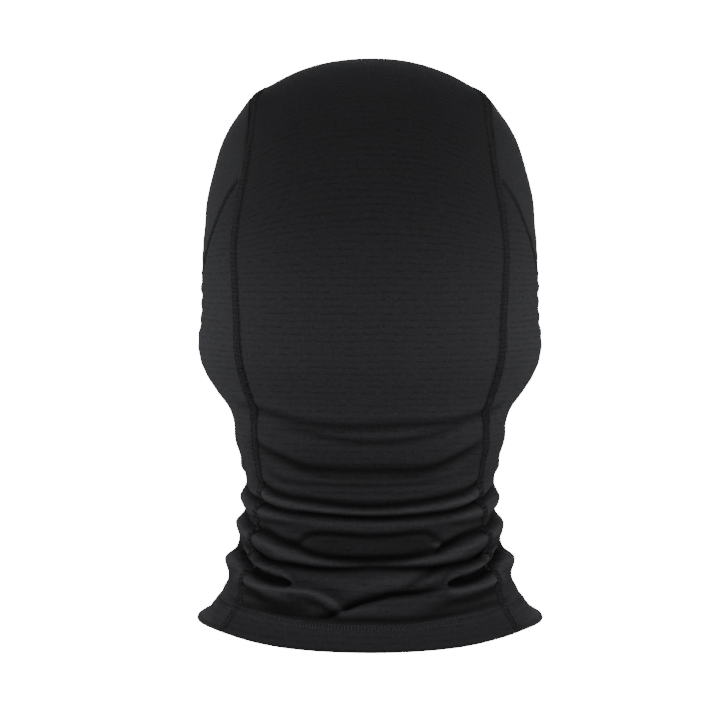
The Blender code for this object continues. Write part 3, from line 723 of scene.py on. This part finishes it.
def skin(p, lift):
    """Points that stand off the folded cloth by a lift, on its own normal."""
    n = normal(p)
    side = unit(np.cross(n, np.array([0.13, 0.21, 1.0])))
    other = np.cross(n, side)
    step = 0.35 * MM
    here = place(p)
    a = place(settle(p + side * step)) - here
    b = place(settle(p + other * step)) - here
    out = unit(np.cross(a, b))
    out = np.where((out * n).sum(-1, keepdims=True) < 0, -out, out)
    return here + out * np.asarray(lift)[..., None], out


# ---- mesh helpers

def put(name, data):
    """A new object in the scene."""
    obj = bpy.data.objects.new(name, data)
    bpy.context.scene.collection.objects.link(obj)
    return obj


def new_object(name, verts, faces, mats):
    mesh = bpy.data.meshes.new(name)
    mesh.from_pydata(verts, [], faces)
    mesh.update()
    mesh.shade_smooth()
    for mat in mats:
        mesh.materials.append(mat)
    return put(name, mesh)


def grid_quads(rows, cols, wrap=False):
    i = np.arange(rows - 1)[:, None]
    j = np.arange(cols if wrap else cols - 1)[None, :]
    k = (j + 1) % cols
    quads = np.stack([i * cols + j, i * cols + k, (i + 1) * cols + k, (i + 1) * cols + j], -1)
    return quads.reshape(-1, 4)


def facing(grid, outward):
    """Whether quads of a grid face the outward direction."""
    i, j = grid.shape[0] // 2, grid.shape[1] // 2
    a = grid[i, j + 1] - grid[i, j]
    b = grid[i + 1, j] - grid[i, j]
    return np.cross(a, b) @ outward[i, j] > 0


def cloth_object(name, grid, mats, uv, thick, front=None, give=None, wrap=False, offset=-1):
    """A grid of points as thick cloth. front holds points and outward directions that say
    which way it faces. A second material goes on the inside."""
    quads = grid_quads(*grid.shape[:2], wrap=wrap)
    if front and not facing(*front):
        quads = quads[:, ::-1]
    count = grid.shape[0] * grid.shape[1]
    obj = new_object(name, grid.reshape(-1, 3).tolist(), quads.tolist(), mats)
    mesh = obj.data
    layer = mesh.uv_layers.new(name="cloth")
    index = np.empty(len(mesh.loops), dtype=np.int32)
    mesh.loops.foreach_get("vertex_index", index)
    layer.data.foreach_set("uv", uv.reshape(-1, 2)[index].astype(np.float32).ravel())
    # painted light and shade of the cloth, kept on its points for the materials to scale their colour by; 1 where
    # nothing is painted
    give = np.ones(count) if give is None else give
    painted_light_layer = mesh.attributes.new("give", "FLOAT", "POINT")
    painted_light_layer.data.foreach_set("value", give.astype(np.float32).ravel())
    solid = obj.modifiers.new("thickness", "SOLIDIFY")
    solid.thickness = thick
    solid.offset = offset
    solid.use_even_offset = False
    solid.material_offset = len(mats) - 1
    return obj


def metre_uv(u, v):
    """UVs in metres from lengths along the columns and along the rows."""
    return np.stack(np.broadcast_arrays(u[None, :], v[:, None]), -1)


def tubes(name, lines, radius, mats, sides=5):
    """Threads: one mesh of capped tubes through lists of points."""
    verts, faces, start = [], [], 0
    ring = np.linspace(0, TURN, sides, endpoint=False)
    for line in lines:
        count = len(line)
        ahead = unit(np.gradient(line, axis=0))
        ref = np.array([0.0, 0.0, 1.0])
        ref = np.where(np.abs(ahead[:, 2:]) > 0.9, np.array([1.0, 0, 0]), ref)
        a = unit(np.cross(ahead, ref))
        b = np.cross(ahead, a)
        taper = np.ones(count)
        taper[0] = taper[-1] = 0.55
        body = (line[:, None] + radius * taper[:, None, None]
                * (a[:, None] * np.cos(ring)[None, :, None]
                   + b[:, None] * np.sin(ring)[None, :, None]))
        verts.append(body.reshape(-1, 3))
        quads = grid_quads(count, sides, wrap=True) + start
        faces.extend(quads.tolist())
        last = start + (count - 1) * sides
        faces.append(tuple(range(start + sides - 1, start - 1, -1)))
        faces.append(tuple(range(last, last + sides)))
        start += count * sides
    return new_object(name, np.concatenate(verts).tolist(), faces, mats)


# ---- materials

GRID_SHOWS = 0.45         # how dark the knit's lines are, and how strong its speckle is
SPECK = 1.2


class Nodes:
    """A small helper to wire a material."""

    def __init__(self, name):
        self.mat = bpy.data.materials.new(name)
        self.mat.use_nodes = True
        self.tree = self.mat.node_tree
        self.bsdf = self.tree.nodes["Principled BSDF"]

    def feed(self, socket, value):
        """Set a socket to a number or a colour, or link an output into it."""
        if isinstance(value, (int, float)):
            socket.default_value = value
        elif isinstance(value, tuple):
            socket.default_value = (*value, 1)[:len(socket.default_value)]
        else:
            self.tree.links.new(value, socket)

    def add(self, kind, inputs=(), **settings):
        node = self.tree.nodes.new(kind)
        for key, value in settings.items():
            setattr(node, key, value)
        for key, value in dict(inputs).items():
            self.feed(node.inputs[key], value)
        return node

    def surface(self, **values):
        """Feed the surface's sockets, whose names have spaces for the underlines."""
        for key, value in values.items():
            self.feed(self.bsdf.inputs[key.replace("_", " ")], value)

    def math(self, op, *values, clamp=False):
        node = self.add("ShaderNodeMath", enumerate(values), operation=op, use_clamp=clamp)
        return node.outputs[0]

    def times(self, a, b):
        return self.math("MULTIPLY", a, b)

    def plus(self, a, b):
        return self.math("ADD", a, b)

    def mix(self, share, one, two):
        node = self.add("ShaderNodeMix", data_type="RGBA")
        for key, value in (("Factor", share), ("A", one), ("B", two)):
            self.feed([s for s in node.inputs if s.name == key and s.enabled][0], value)
        return [s for s in node.outputs if s.enabled][0]

    def uv(self):
        """The cloth's coordinates in metres."""
        return self.add("ShaderNodeUVMap", uv_map="cloth").outputs[0]

    def split(self, uv):
        """The two coordinates on their own."""
        return self.add("ShaderNodeSeparateXYZ", {0: uv}).outputs[:2]

    def noise(self, vector, scale, detail=2.0, rough=0.5):
        return self.add("ShaderNodeTexNoise", {"Scale": scale, "Detail": detail,
                        "Roughness": rough, "Vector": vector}).outputs["Fac"]

    def stretched(self, vector, along_u, along_v):
        """Coordinates scaled apart, so that a noise in them has long or tall patches."""
        return self.add("ShaderNodeMapping", {"Scale": (along_u, along_v, 1),
                        "Vector": vector}).outputs[0]

    def ramp(self, value, low, high):
        """0 below low, 1 above high, smooth between them."""
        return self.add("ShaderNodeMapRange", {"From Min": low, "From Max": high,
                        "Value": value}, interpolation_type="SMOOTHSTEP").outputs[0]

    def shaded(self, tone):
        """A colour scaled by the painted light and shade kept on the cloth's points: painted shade in fold hollows, at
        the crown and the neck, painted highlight on fold crests and over the widest part of the head.
        """
        give = self.add("ShaderNodeAttribute", attribute_name="give").outputs["Fac"]
        scale = self.add("ShaderNodeVectorMath", {0: tone, "Scale": give}, operation="SCALE")
        self.surface(Base_Color=scale.outputs[0])

    def line(self, coordinate, pitch, sharp):
        """1 on thin lines every pitch, 0 between them."""
        turn = self.times(coordinate, TURN / pitch)
        wave = self.math("MULTIPLY_ADD", self.math("COSINE", turn), 0.5, 0.5)
        return self.math("POWER", wave, sharp)

    def bump(self, height, distance, strength=1.0):
        node = self.add("ShaderNodeBump", {"Distance": distance, "Strength": strength,
                                           "Height": height})
        self.surface(Normal=node.outputs[0])


def tint(colour, share):
    return tuple(c * share for c in colour)


def knit(name, colour, dark, wale, course, rough, sheen, lines=1.0, across=1.0):
    """Fine grid knit: raised cells between thin broken sunken lines, with a little fuzz."""
    n = Nodes(name)
    uv = n.uv()
    u, v = n.split(uv)
    warp = n.noise(uv, 55, 3, 0.6)
    drift = n.times(n.plus(warp, -0.5), 0.0024)
    wales = n.line(n.plus(u, drift), wale, 4)
    courses = n.line(n.plus(v, drift), course, 4)
    fuzz = n.noise(uv, 1500, 3, 0.6)
    grain = n.noise(uv, 620, 2, 0.7)
    dashes = n.noise(n.stretched(uv, 190, 420), 1, 3, 0.7)
    stubs = n.noise(n.stretched(uv, 420, 190), 1, 3, 0.7)
    rows = n.times(courses, n.ramp(dashes, 0.38, 0.62))
    stems = n.times(wales, n.ramp(stubs, 0.46, 0.68))
    grid = n.math("MAXIMUM", n.times(stems, 0.55 * across), n.times(rows, lines), clamp=True)
    tone = n.mix(n.times(grid, GRID_SHOWS), colour, dark)
    speck = n.math("ADD", n.times(n.plus(fuzz, -0.5), SPECK),
                   n.times(n.plus(grain, -0.5), SPECK), clamp=True)
    n.shaded(n.mix(speck, tone, tint(colour, 2.0)))
    n.bump(n.plus(n.times(grid, -0.75), n.times(fuzz, 0.45)), 0.00025, 0.9)
    n.surface(Roughness=n.math("MULTIPLY_ADD", fuzz, 0.2, rough - 0.1), Sheen_Weight=sheen,
              Sheen_Roughness=0.45, Sheen_Tint=(0.9, 0.93, 1.0), Specular_IOR_Level=0.06)
    return n.mat


def flatlock_cover(name, colour, dark, strength=1.0):
    """Looper threads laid over a seam: herringbone strokes, broken up by fuzz."""
    n = Nodes(name)
    uv = n.uv()
    u, v = n.split(uv)
    slant = n.plus(u, n.math("ABSOLUTE", v))
    warp = n.times(n.plus(n.noise(uv, 420, 2, 0.6), -0.5), 0.0014)
    strokes = n.line(n.plus(slant, warp), 0.00135, 1.4)
    broken = n.times(strokes, n.ramp(n.noise(uv, 700, 3, 0.7), 0.3, 0.6))
    n.shaded(n.mix(n.times(broken, strength), dark, colour))
    n.bump(broken, 0.00025, 0.8)
    n.surface(Roughness=0.7, Sheen_Weight=0.02, Specular_IOR_Level=0.1)
    return n.mat


def brushed(name, colour):
    """The brushed inside of the knit."""
    n = Nodes(name)
    uv = n.uv()
    pile = n.noise(uv, 900, 4, 0.7)
    patch = n.noise(uv, 90, 3, 0.6)
    tone = n.mix(pile, tint(colour, 0.6), tint(colour, 1.7))
    tone = n.mix(n.times(patch, 0.4), tone, tint(colour, 0.8))
    n.bump(pile, 0.0005, 0.8)
    n.surface(Base_Color=tone, Roughness=0.95, Sheen_Weight=0.5, Sheen_Roughness=0.6)
    return n.mat


def thread(name, colour):
    """Twisted polyester thread."""
    n = Nodes(name)
    where = n.add("ShaderNodeTexCoord").outputs["Object"]
    twist = n.noise(where, 2600, 2, 0.5)
    n.bump(twist, 0.0001, 0.7)
    n.surface(Base_Color=n.mix(twist, tint(colour, 0.55), tint(colour, 1.5)),
              Roughness=0.55, Sheen_Weight=0.04, Specular_IOR_Level=0.2)
    return n.mat


def elastic(name, colour):
    """Ribbed fold-over elastic."""
    n = Nodes(name)
    uv = n.uv()
    u, v = n.split(uv)
    ribs = n.times(n.line(u, 0.0011, 2), 0.6)
    rows = n.times(n.line(v, 0.0016, 3), 0.3)
    fuzz = n.times(n.noise(uv, 1200, 2, 0.6), 0.3)
    height = n.plus(n.plus(ribs, rows), fuzz)
    n.bump(height, 0.0002, 0.8)
    n.surface(Base_Color=n.mix(height, tint(colour, 0.6), tint(colour, 1.4)),
              Roughness=0.6, Sheen_Weight=0.25, Sheen_Roughness=0.4)
    return n.mat


def woven_tape(name, colour):
    """Plain woven ribbon."""
    n = Nodes(name)
    u, v = n.split(n.uv())
    height = n.times(n.line(u, 0.0005, 1), n.line(v, 0.0007, 1))
    n.bump(height, 0.0001, 0.6)
    n.surface(Base_Color=n.mix(height, tint(colour, 0.8), tint(colour, 1.1)),
              Roughness=0.5, Sheen_Weight=0.2)
    return n.mat


GRID = knit("grid_knit", (0.0250, 0.0250, 0.0272), (0.0110, 0.0110, 0.0122),
            0.0020, 0.0033, 0.82, 0.03)
SIDE = knit("side_knit", (0.0265, 0.0265, 0.0295), (0.0110, 0.0110, 0.0125),
            0.0022, 0.0028, 0.78, 0.05, lines=1.3, across=0.45)
TEMPLE = knit("temple_knit", (0.0275, 0.0275, 0.0305), (0.0170, 0.0170, 0.0190),
              0.0016, 0.0026, 0.66, 0.06, lines=0.5, across=0.3)
INSIDE = brushed("brushed_inside", (0.02, 0.02, 0.0225))
MAIN_BAND = flatlock_cover("main_seam_cover", (0.036, 0.036, 0.040),
                           (0.014, 0.014, 0.016))
TEMPLE_BAND = flatlock_cover("temple_seam_cover", (0.034, 0.034, 0.037),
                             (0.023, 0.023, 0.025), 0.8)
THREAD = thread("sewing_thread", (0.018, 0.018, 0.020))
TEMPLE_THREAD = thread("temple_thread", (0.026, 0.026, 0.029))
HEM_THREAD = thread("hem_thread", (0.046, 0.047, 0.052))
ELASTIC = elastic("fold_over_elastic", (0.0125, 0.0125, 0.014))
TAPE = woven_tape("label_tape", (0.22, 0.22, 0.23))


# ---- panels

def declare(obj, *nodes, slot=None):
    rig.ride(obj, "root")
    if nodes:
        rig.replaces(obj, *nodes)
    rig.slot(obj, slot or nodes[0])
    return obj


sheets = []


def add_panel(name, base, mat, hem, flat_size, area):
    """A dense folded panel with metre UVs: u round the head, v up the cloth. flat_size and
    area are the cut's own box and area, from its outline, not the mesh's."""
    out = normal(base)
    body, fold = place_and_fold(base)
    # painted light and shade: by height, with painted shade in the folds' hollows and painted highlight on their
    # crests
    give = stretch_and_painted_light_at(base[..., 2]) * gathered(fold, NECK_STEP)
    u = np.linalg.norm(np.diff(base, axis=1), axis=2)
    u = np.concatenate([np.zeros((len(base), 1)), np.cumsum(u, axis=1)], axis=1)
    # the centre panel's lengths run from its middle, the others' from the front
    if name == "center_panel":
        middle = base.shape[1] // 2
        u = u - u[:, middle][:, None]
        v = np.repeat(lengths(base[:, middle])[:, None], base.shape[1], axis=1)
    else:
        u = u - u[:, -1:]
        v = chart_of(base)[..., 1]
    uv = np.stack([u, v], -1)
    if hem:
        flat = unit(out[0] * np.array([1, 1, 0]))
        foot = body[0]
        turn = []
        for a in math.pi * np.arange(7, 0, -1) / 8:
            p = foot - flat * (HEM_INNER / 2) * (1 - math.cos(a))
            p[:, 2] = foot[:, 2] - HEM_BULGE * math.sin(a)
            turn.append(p)
        count = int((SPINE < HEM_TOP).sum())
        n_low = unit(out[:count] * np.array([1, 1, 0.35]))
        inner = body[:count] - n_low * HEM_INNER
        inner[0] = foot - flat * HEM_INNER
        rows = np.concatenate([inner[::-1], np.array(turn), body])
        pad = len(inner) + len(turn)
        uv_low = np.concatenate([uv[:count][::-1], np.repeat(uv[:1], len(turn), 0)])
        uv_low[:, :, 1] = -np.linspace(0.018, 0, pad)[:, None]
        uv = np.concatenate([uv_low, uv])
        give = np.concatenate([np.repeat(give[:1], pad, 0), give])
    else:
        rows = body
    obj = cloth_object(name + "_cloth", rows, [mat, INSIDE], uv, CLOTH,
                       (rows[-len(base):], out), give)
    sheets.append((declare(obj, name), flat_size, area))


# a long strip, about 115 mm wide on average
add_panel("center_panel", centre_grid(), GRID, True, (0.145, 0.520), 0.060)
side = side_grid()
temple = temple_grid()
for hand, flip in (("left", np.ones(3)), ("right", FLIP)):
    # about 165 mm wide and 190 mm tall on average, with 15 mm turned up
    add_panel(f"side_panel_{hand}", side * flip, SIDE, True, (0.215, 0.245), 0.034)
    # a segment, about two thirds of its box
    add_panel(f"temple_panel_{hand}", temple * flip, TEMPLE, False, (0.190, 0.110), 0.0135)


# ---- flatlock seams

def seam_frame(line, at):
    """Points of a seam, with the direction ahead and the one to the side."""
    p = settle(along(line, at))
    ahead = unit(np.gradient(p, axis=0))
    return p, ahead, unit(np.cross(ahead, normal(p)))


def seam_span(name):
    """Where the band runs: it stops short of the binding and the main seam."""
    line = SEAMS[name]
    run = lengths(line)
    at = np.linspace(0, run[-1], 700)
    loop = np.concatenate([EYE_CURVE[::4], EYE_CURVE[::4] * FLIP])
    gap = np.linalg.norm(along(line, at)[:, None] - loop[None], axis=2).min(1)
    end = at[gap > BINDING_CLEAR][-1]
    return (6 * MM if name.startswith("temple") else 0.4 * MM), end


def flatlock(name):
    """A seam's cover and threads outside, and its plainer band inside."""
    line = SEAMS[name]
    begin, end = seam_span(name)
    faint = name.startswith("temple")
    wide = TEMPLE_COVER_HALF if faint else COVER_HALF
    cover, yarn = (TEMPLE_BAND, TEMPLE_THREAD) if faint else (MAIN_BAND, THREAD)
    step = 0.8 * MM
    at = np.arange(begin, end, step)
    p, _, way = seam_frame(line, at)
    offsets = np.linspace(-1, 1, 9)
    crown = (0.12 if faint else 0.2) * MM * (1 - np.abs(offsets) ** 4) - 0.05 * MM
    # the cover takes the same painted light and shade as the cloth under it
    give = stretch_and_painted_light_at(p[:, 2]) * gathered(fold_moves(p)[0][:, None], step)[:, 0]
    rows = []
    for o, lift in zip(offsets, crown):
        q = settle(p + way * (o * wide))
        rows.append(skin(q, lift + 0.05 * MM * ripple(at, 1.4 * MM))[0])
    grid = np.array(rows)
    out = np.repeat(normal(p)[None], len(grid), 0)
    band = cloth_object(name + "_band", grid, [cover], metre_uv(at, offsets * wide),
                        0.45 * MM, (grid, out), np.tile(give, len(offsets)))
    declare(band, name)
    # looper threads cross the band in a zigzag, needle threads run along it
    pitch = 1.5 * MM
    at = np.arange(begin + 0.6 * MM, end - 0.6 * MM, pitch / 2)
    p, _, way = seam_frame(line, at)
    swing = np.where(np.arange(len(at)) % 2 == 0, 1.0, -1.0)
    lines = []
    for phase in (1, -1):
        ends = settle(p + way * (swing * phase * LOOPER_REACH * wide)[:, None])
        mids = settle((ends[:-1] + ends[1:]) / 2)
        path = np.empty((len(ends) + len(mids), 3))
        path[0::2] = ends
        path[1::2] = mids
        lift = np.full(len(path), crown[4] - 0.06 * MM)
        lift[1::2] = crown[4] + (0.14 if phase > 0 else 0.06) * MM
        lines.append(skin(path, lift)[0])
    at = np.arange(begin + 0.5 * MM, end - 0.5 * MM, pitch / 4)
    p, _, way = seam_frame(line, at)
    dip = 0.5 + 0.5 * np.cos(at * TURN / (2.0 * MM))
    for o in (-0.6, -0.2, 0.2, 0.6):
        q = settle(p + way * (o * wide))
        lines.append(skin(q, crown[4] + (0.2 - 0.34 * dip ** 3) * MM)[0])
    declare(tubes(name + "_threads", lines, (0.11 if faint else 0.16) * MM, [yarn], sides=4),
            slot=name)
    # inside of the seam: a plainer band with the needle rows
    at = np.arange(begin if faint else max(begin, 15 * MM), end, 1.6 * MM)
    p, _, way = seam_frame(line, at)
    rows = [skin(settle(p + way * (o * wide)), np.full(len(at), -lift))[0]
            for o, lift in zip((-1, -0.5, 0.5, 1), np.array([1.0, 1.35, 1.35, 1.0]) * MM)]
    inner = cloth_object(name + "_inner_band", np.array(rows), [MAIN_BAND],
                         metre_uv(at, np.linspace(-1, 1, 4) * wide), 0.4 * MM, offset=0)
    stem, _, hand = name.partition("_seam")
    declare(inner, f"{stem}_seam_inner{hand}")


for seam in SEAMS:
    flatlock(seam)


# ---- hem coverstitch

def sewn(angle, height):
    """A point of the hem's seam line, which dips behind and rises beside the neck."""
    p = chart_point(np.stack([angle, height], -1))
    turn = np.abs(turn_of(p))
    dip = 0.9 * hump(turn, 58, 20) - 1.2 * hump(turn, 0, 28)
    return chart_point(np.stack([angle, height + dip * MM], -1))


def hem_stitches():
    """Two needle rows of short stitches, and the looper's small upright ticks."""
    around = TURN * 80 * MM
    needle = np.array([-0.1, 0.16, 0.22, 0.22, 0.16, -0.1]) * MM
    looper = np.array([0.05, 0.20, 0.26, 0.20, 0.05]) * MM
    lines = []
    count = int(around / (2.3 * MM))
    for height in HEM_ROWS:
        for k in range(count):
            angle = TURN * k / count + np.linspace(0, 0.80, 6) * TURN / count
            lines.append((sewn(angle, np.full(6, height * MM)), needle))
    count = int(around / (1.55 * MM))
    t = np.linspace(0, 1, 5)
    for k in range(count):
        angle = TURN * (k + 0.5) / count + (t - 0.5) * 0.35 * TURN / count
        lines.append((sewn(angle, (10.8 + 2.0 * t) * MM), looper))
    every = np.concatenate([p for p, _ in lines])
    lifts = np.concatenate([lift for _, lift in lines])
    across, _ = finder.near(every)
    # over the seam covers they stand higher
    lifts = lifts + 0.5 * MM * fade(3.4 * MM - across, 0, MM)
    return np.split(skin(every, lifts)[0], np.cumsum([len(p) for p, _ in lines])[:-1])


declare(tubes("hem_stitch_threads", hem_stitches(), 0.15 * MM, [HEM_THREAD], sides=4),
        "hem_stitch")


def hem_inside():
    """The back of the coverstitch, on the turned-up layer: a zigzag and two needle rows."""
    def behind(angle, height, depth):
        body, out = skin(chart_point(np.stack([angle, height], -1)), np.zeros(len(angle)))
        return body - out * depth

    count = int(TURN * 76 * MM / (1.4 * MM))
    angle = np.linspace(0, TURN, 2 * count + 1)
    zig = np.where(np.arange(len(angle)) % 2 == 0, *HEM_ROWS_INSIDE) * MM
    lines = [behind(angle, zig, HEM_INNER + 0.35 * MM)]
    angle = np.linspace(0, TURN, 500)
    for height in HEM_ROWS_INSIDE:
        lines.append(behind(angle, np.full(500, height * MM), HEM_INNER + 0.45 * MM))
    return lines


declare(tubes("hem_stitch_inner_threads", hem_inside(), 0.2 * MM, [THREAD], sides=4),
        "hem_stitch_inner")


# ---- eye opening

def eye_stations(count=300):
    """Points round the eye's edge, the ways off it and out of it, and lengths along it."""
    right = (EYE_CURVE * FLIP)[::-1]
    loop = np.concatenate([EYE_CURVE, right[1:-1], EYE_CURVE[:1]])
    at = np.linspace(0, lengths(loop)[-1], count, endpoint=False)
    ring = settle(along(loop, at))
    ahead = unit(np.roll(ring, -1, 0) - np.roll(ring, 1, 0))
    n = normal(ring)
    away = unit(np.cross(ahead, n))
    if ((ring - np.array([0, 0, EYE_Z])) * away).sum() < 0:
        away = -away
    return ring, away, n, at


# across the binding: mm off the opening's edge, mm above the cloth
BINDING_SECTION = (
    (8.0, 0.15), (7.7, 0.75), (6.6, 0.95), (5.6, 0.72), (4.6, 0.95), (2.5, 1.15), (0.3, 1.1),
    (-0.9, 0.5), (-1.3, -0.45), (-0.9, -1.4), (0.3, -2.0), (3.0, -2.0), (6.0, -1.9),
    (7.6, -1.6), (7.9, -1.05))


def binding():
    """The elastic, folded over the edge of the opening."""
    ring, away, n, at = eye_stations()
    section = []
    for d, h in BINDING_SECTION:
        p = ring + away * (d * MM)
        m = n
        if d > 0:
            p = settle(p)
            p, m = skin(p, np.zeros(len(p)))
        swell = 0.06 * MM * ripple(at, 5.2 * MM) * (1 if 1 < d < 8 else 0.4)
        section.append(p + m * (h * MM + swell)[:, None])
    grid = np.array(section)
    out = np.repeat(n[None], 6, 0)
    return cloth_object("eye_binding_elastic", grid, [ELASTIC],
                        metre_uv(at, lengths(grid[:, 0])), 0.35 * MM, (grid[:6], out),
                        wrap=True)


declare(binding(), "eye_binding")


def binding_stitches():
    """One closed zigzag round the opening."""
    ring, away, _, _ = eye_stations(640)
    index = np.arange(len(ring))
    wave = np.where(index % 4 < 2, 5.0, 6.3)
    p = settle(ring + away * (wave * MM)[:, None])
    body, out = skin(p, np.zeros(len(p)))
    path = body + out * (np.where(index % 2 == 0, 0.92, 1.0) * MM)[:, None]
    return [np.concatenate([path, path[:1]])]


declare(tubes("eye_binding_stitch_threads", binding_stitches(), 0.2 * MM, [THREAD], sides=5),
        "eye_binding_stitch")


def label():
    """A blank tape inside the nape, free at its lower end."""
    s = np.linspace(73, 93, 22) * MM
    x = np.linspace(-15, 15, 32) * MM
    p = spine_point(*np.meshgrid(s, x, indexing="ij"))
    body, out = skin(p, np.zeros(p.shape[:2]))
    free = np.linspace(1, 0, len(s))[:, None]
    off = (1.5 + 1.6 * free ** 2 + 0.25 * np.sin(x / (4 * MM))[None, :] * free) * MM
    return cloth_object("blank_label_tape", body - out * off[..., None], [TAPE],
                        metre_uv(x, s), 0.35 * MM)


label_piece = declare(label(), "blank_label")

for obj, flat, area in sheets:
    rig.sheet(obj, flat=flat, held="stretched", area=area)
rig.sheet(label_piece, flat=(0.030, 0.020), held="stretched")

# ---- floor, light and camera

floor_mesh = bpy.data.meshes.new("floor")
bm = bmesh.new()
bmesh.ops.create_circle(bm, cap_ends=True, segments=96, radius=6)
bm.to_mesh(floor_mesh)
bm.free()
floor = put("floor", floor_mesh)
floor.location.z = -0.0004
BACKDROP = 17.0           # how bright the camera sees the floor and the room
FLOOR_REFLECTS = 0.8      # of that, what the floor gives back by itself
ROOM_LIGHT = 0.035        # what the room gives the object
floor_look = Nodes("pale_floor")
floor_look.surface(Base_Color=(0.6, 0.6, 0.6), Roughness=0.9, Specular_IOR_Level=0.1,
                   Emission_Color=(1, 1, 1))
seen = floor_look.add("ShaderNodeLightPath").outputs["Is Camera Ray"]
floor_look.surface(
    Emission_Strength=floor_look.math("MULTIPLY", seen, BACKDROP - FLOOR_REFLECTS))
floor_mesh.materials.append(floor_look.mat)
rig.stage(floor)

world = bpy.data.worlds.new("studio")
bpy.context.scene.world = world
world.use_nodes = True
sky = world.node_tree
sky.nodes["Background"].inputs[0].default_value = (1.0, 1.0, 1.0, 1)
sky_path = sky.nodes.new("ShaderNodeLightPath")
sky_gain = sky.nodes.new("ShaderNodeMath")
sky_gain.operation = "MULTIPLY_ADD"
sky_gain.inputs[1].default_value = BACKDROP
sky_gain.inputs[2].default_value = ROOM_LIGHT
sky.links.new(sky_path.outputs["Is Camera Ray"], sky_gain.inputs[0])
sky.links.new(sky_gain.outputs[0], sky.nodes["Background"].inputs[1])


def soft_light(name, where, aim, size, power):
    """A rectangular soft box, aimed at a point."""
    data = bpy.data.lights.new(name, "AREA")
    data.shape = "RECTANGLE"
    data.size, data.size_y = size
    data.energy = power
    lamp = put(name, data)
    lamp.location = where
    lamp.rotation_euler = (Vector(aim) - Vector(where)).to_track_quat("-Z", "Y").to_euler()


def around(azimuth, height, reach=1.3):
    """A place round the object: degrees from the back of the head towards its left."""
    turn = math.radians(azimuth)
    return (reach * math.sin(turn), reach * math.cos(turn), height)


for name, azimuth, height, size, power in (
        ("back_box", 6, 0.66, (0.8, 0.6), 5.5),
        ("left_box", 74, 0.42, (0.6, 0.8), 8.6),
        ("right_box", -66, 0.42, (0.6, 0.8), 8.8),
        ("face_box", 180, 0.5, (0.9, 0.9), 4.0),
        ("left_edge", 118, 0.3, (0.6, 0.7), 2.2),
        ("right_edge", -116, 0.3, (0.6, 0.7), 2.4)):
    soft_light(name, around(azimuth, height), (0, 0, 0.14), size, power)
soft_light("overhead", (0, 0.5, 1.4), (0, 0.05, 0.1), (0.8, 0.6), 1.6)

CAMERA_AT = Vector((0, 1.0, 0.18))
AIM = Vector((0, 0, 0.134))
PER_PIXEL = 0.5 * MM
SENSOR = 36.0
PIXELS = 704
camera = bpy.data.cameras.new("camera")
camera.sensor_width = SENSOR
camera.lens = (AIM - CAMERA_AT).length / PER_PIXEL * SENSOR / PIXELS
camera.shift_x = -18 / PIXELS
view = put("camera", camera)
view.location = CAMERA_AT
view.rotation_euler = (AIM - CAMERA_AT).to_track_quat("-Z", "Y").to_euler()
bpy.context.scene.camera = view

with open("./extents.json", "w") as out_file:
    json.dump({"cad": [list(map(float, c)) for c in CAD_BOX],
               "visual": [list(map(float, c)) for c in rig.bounds()]}, out_file)
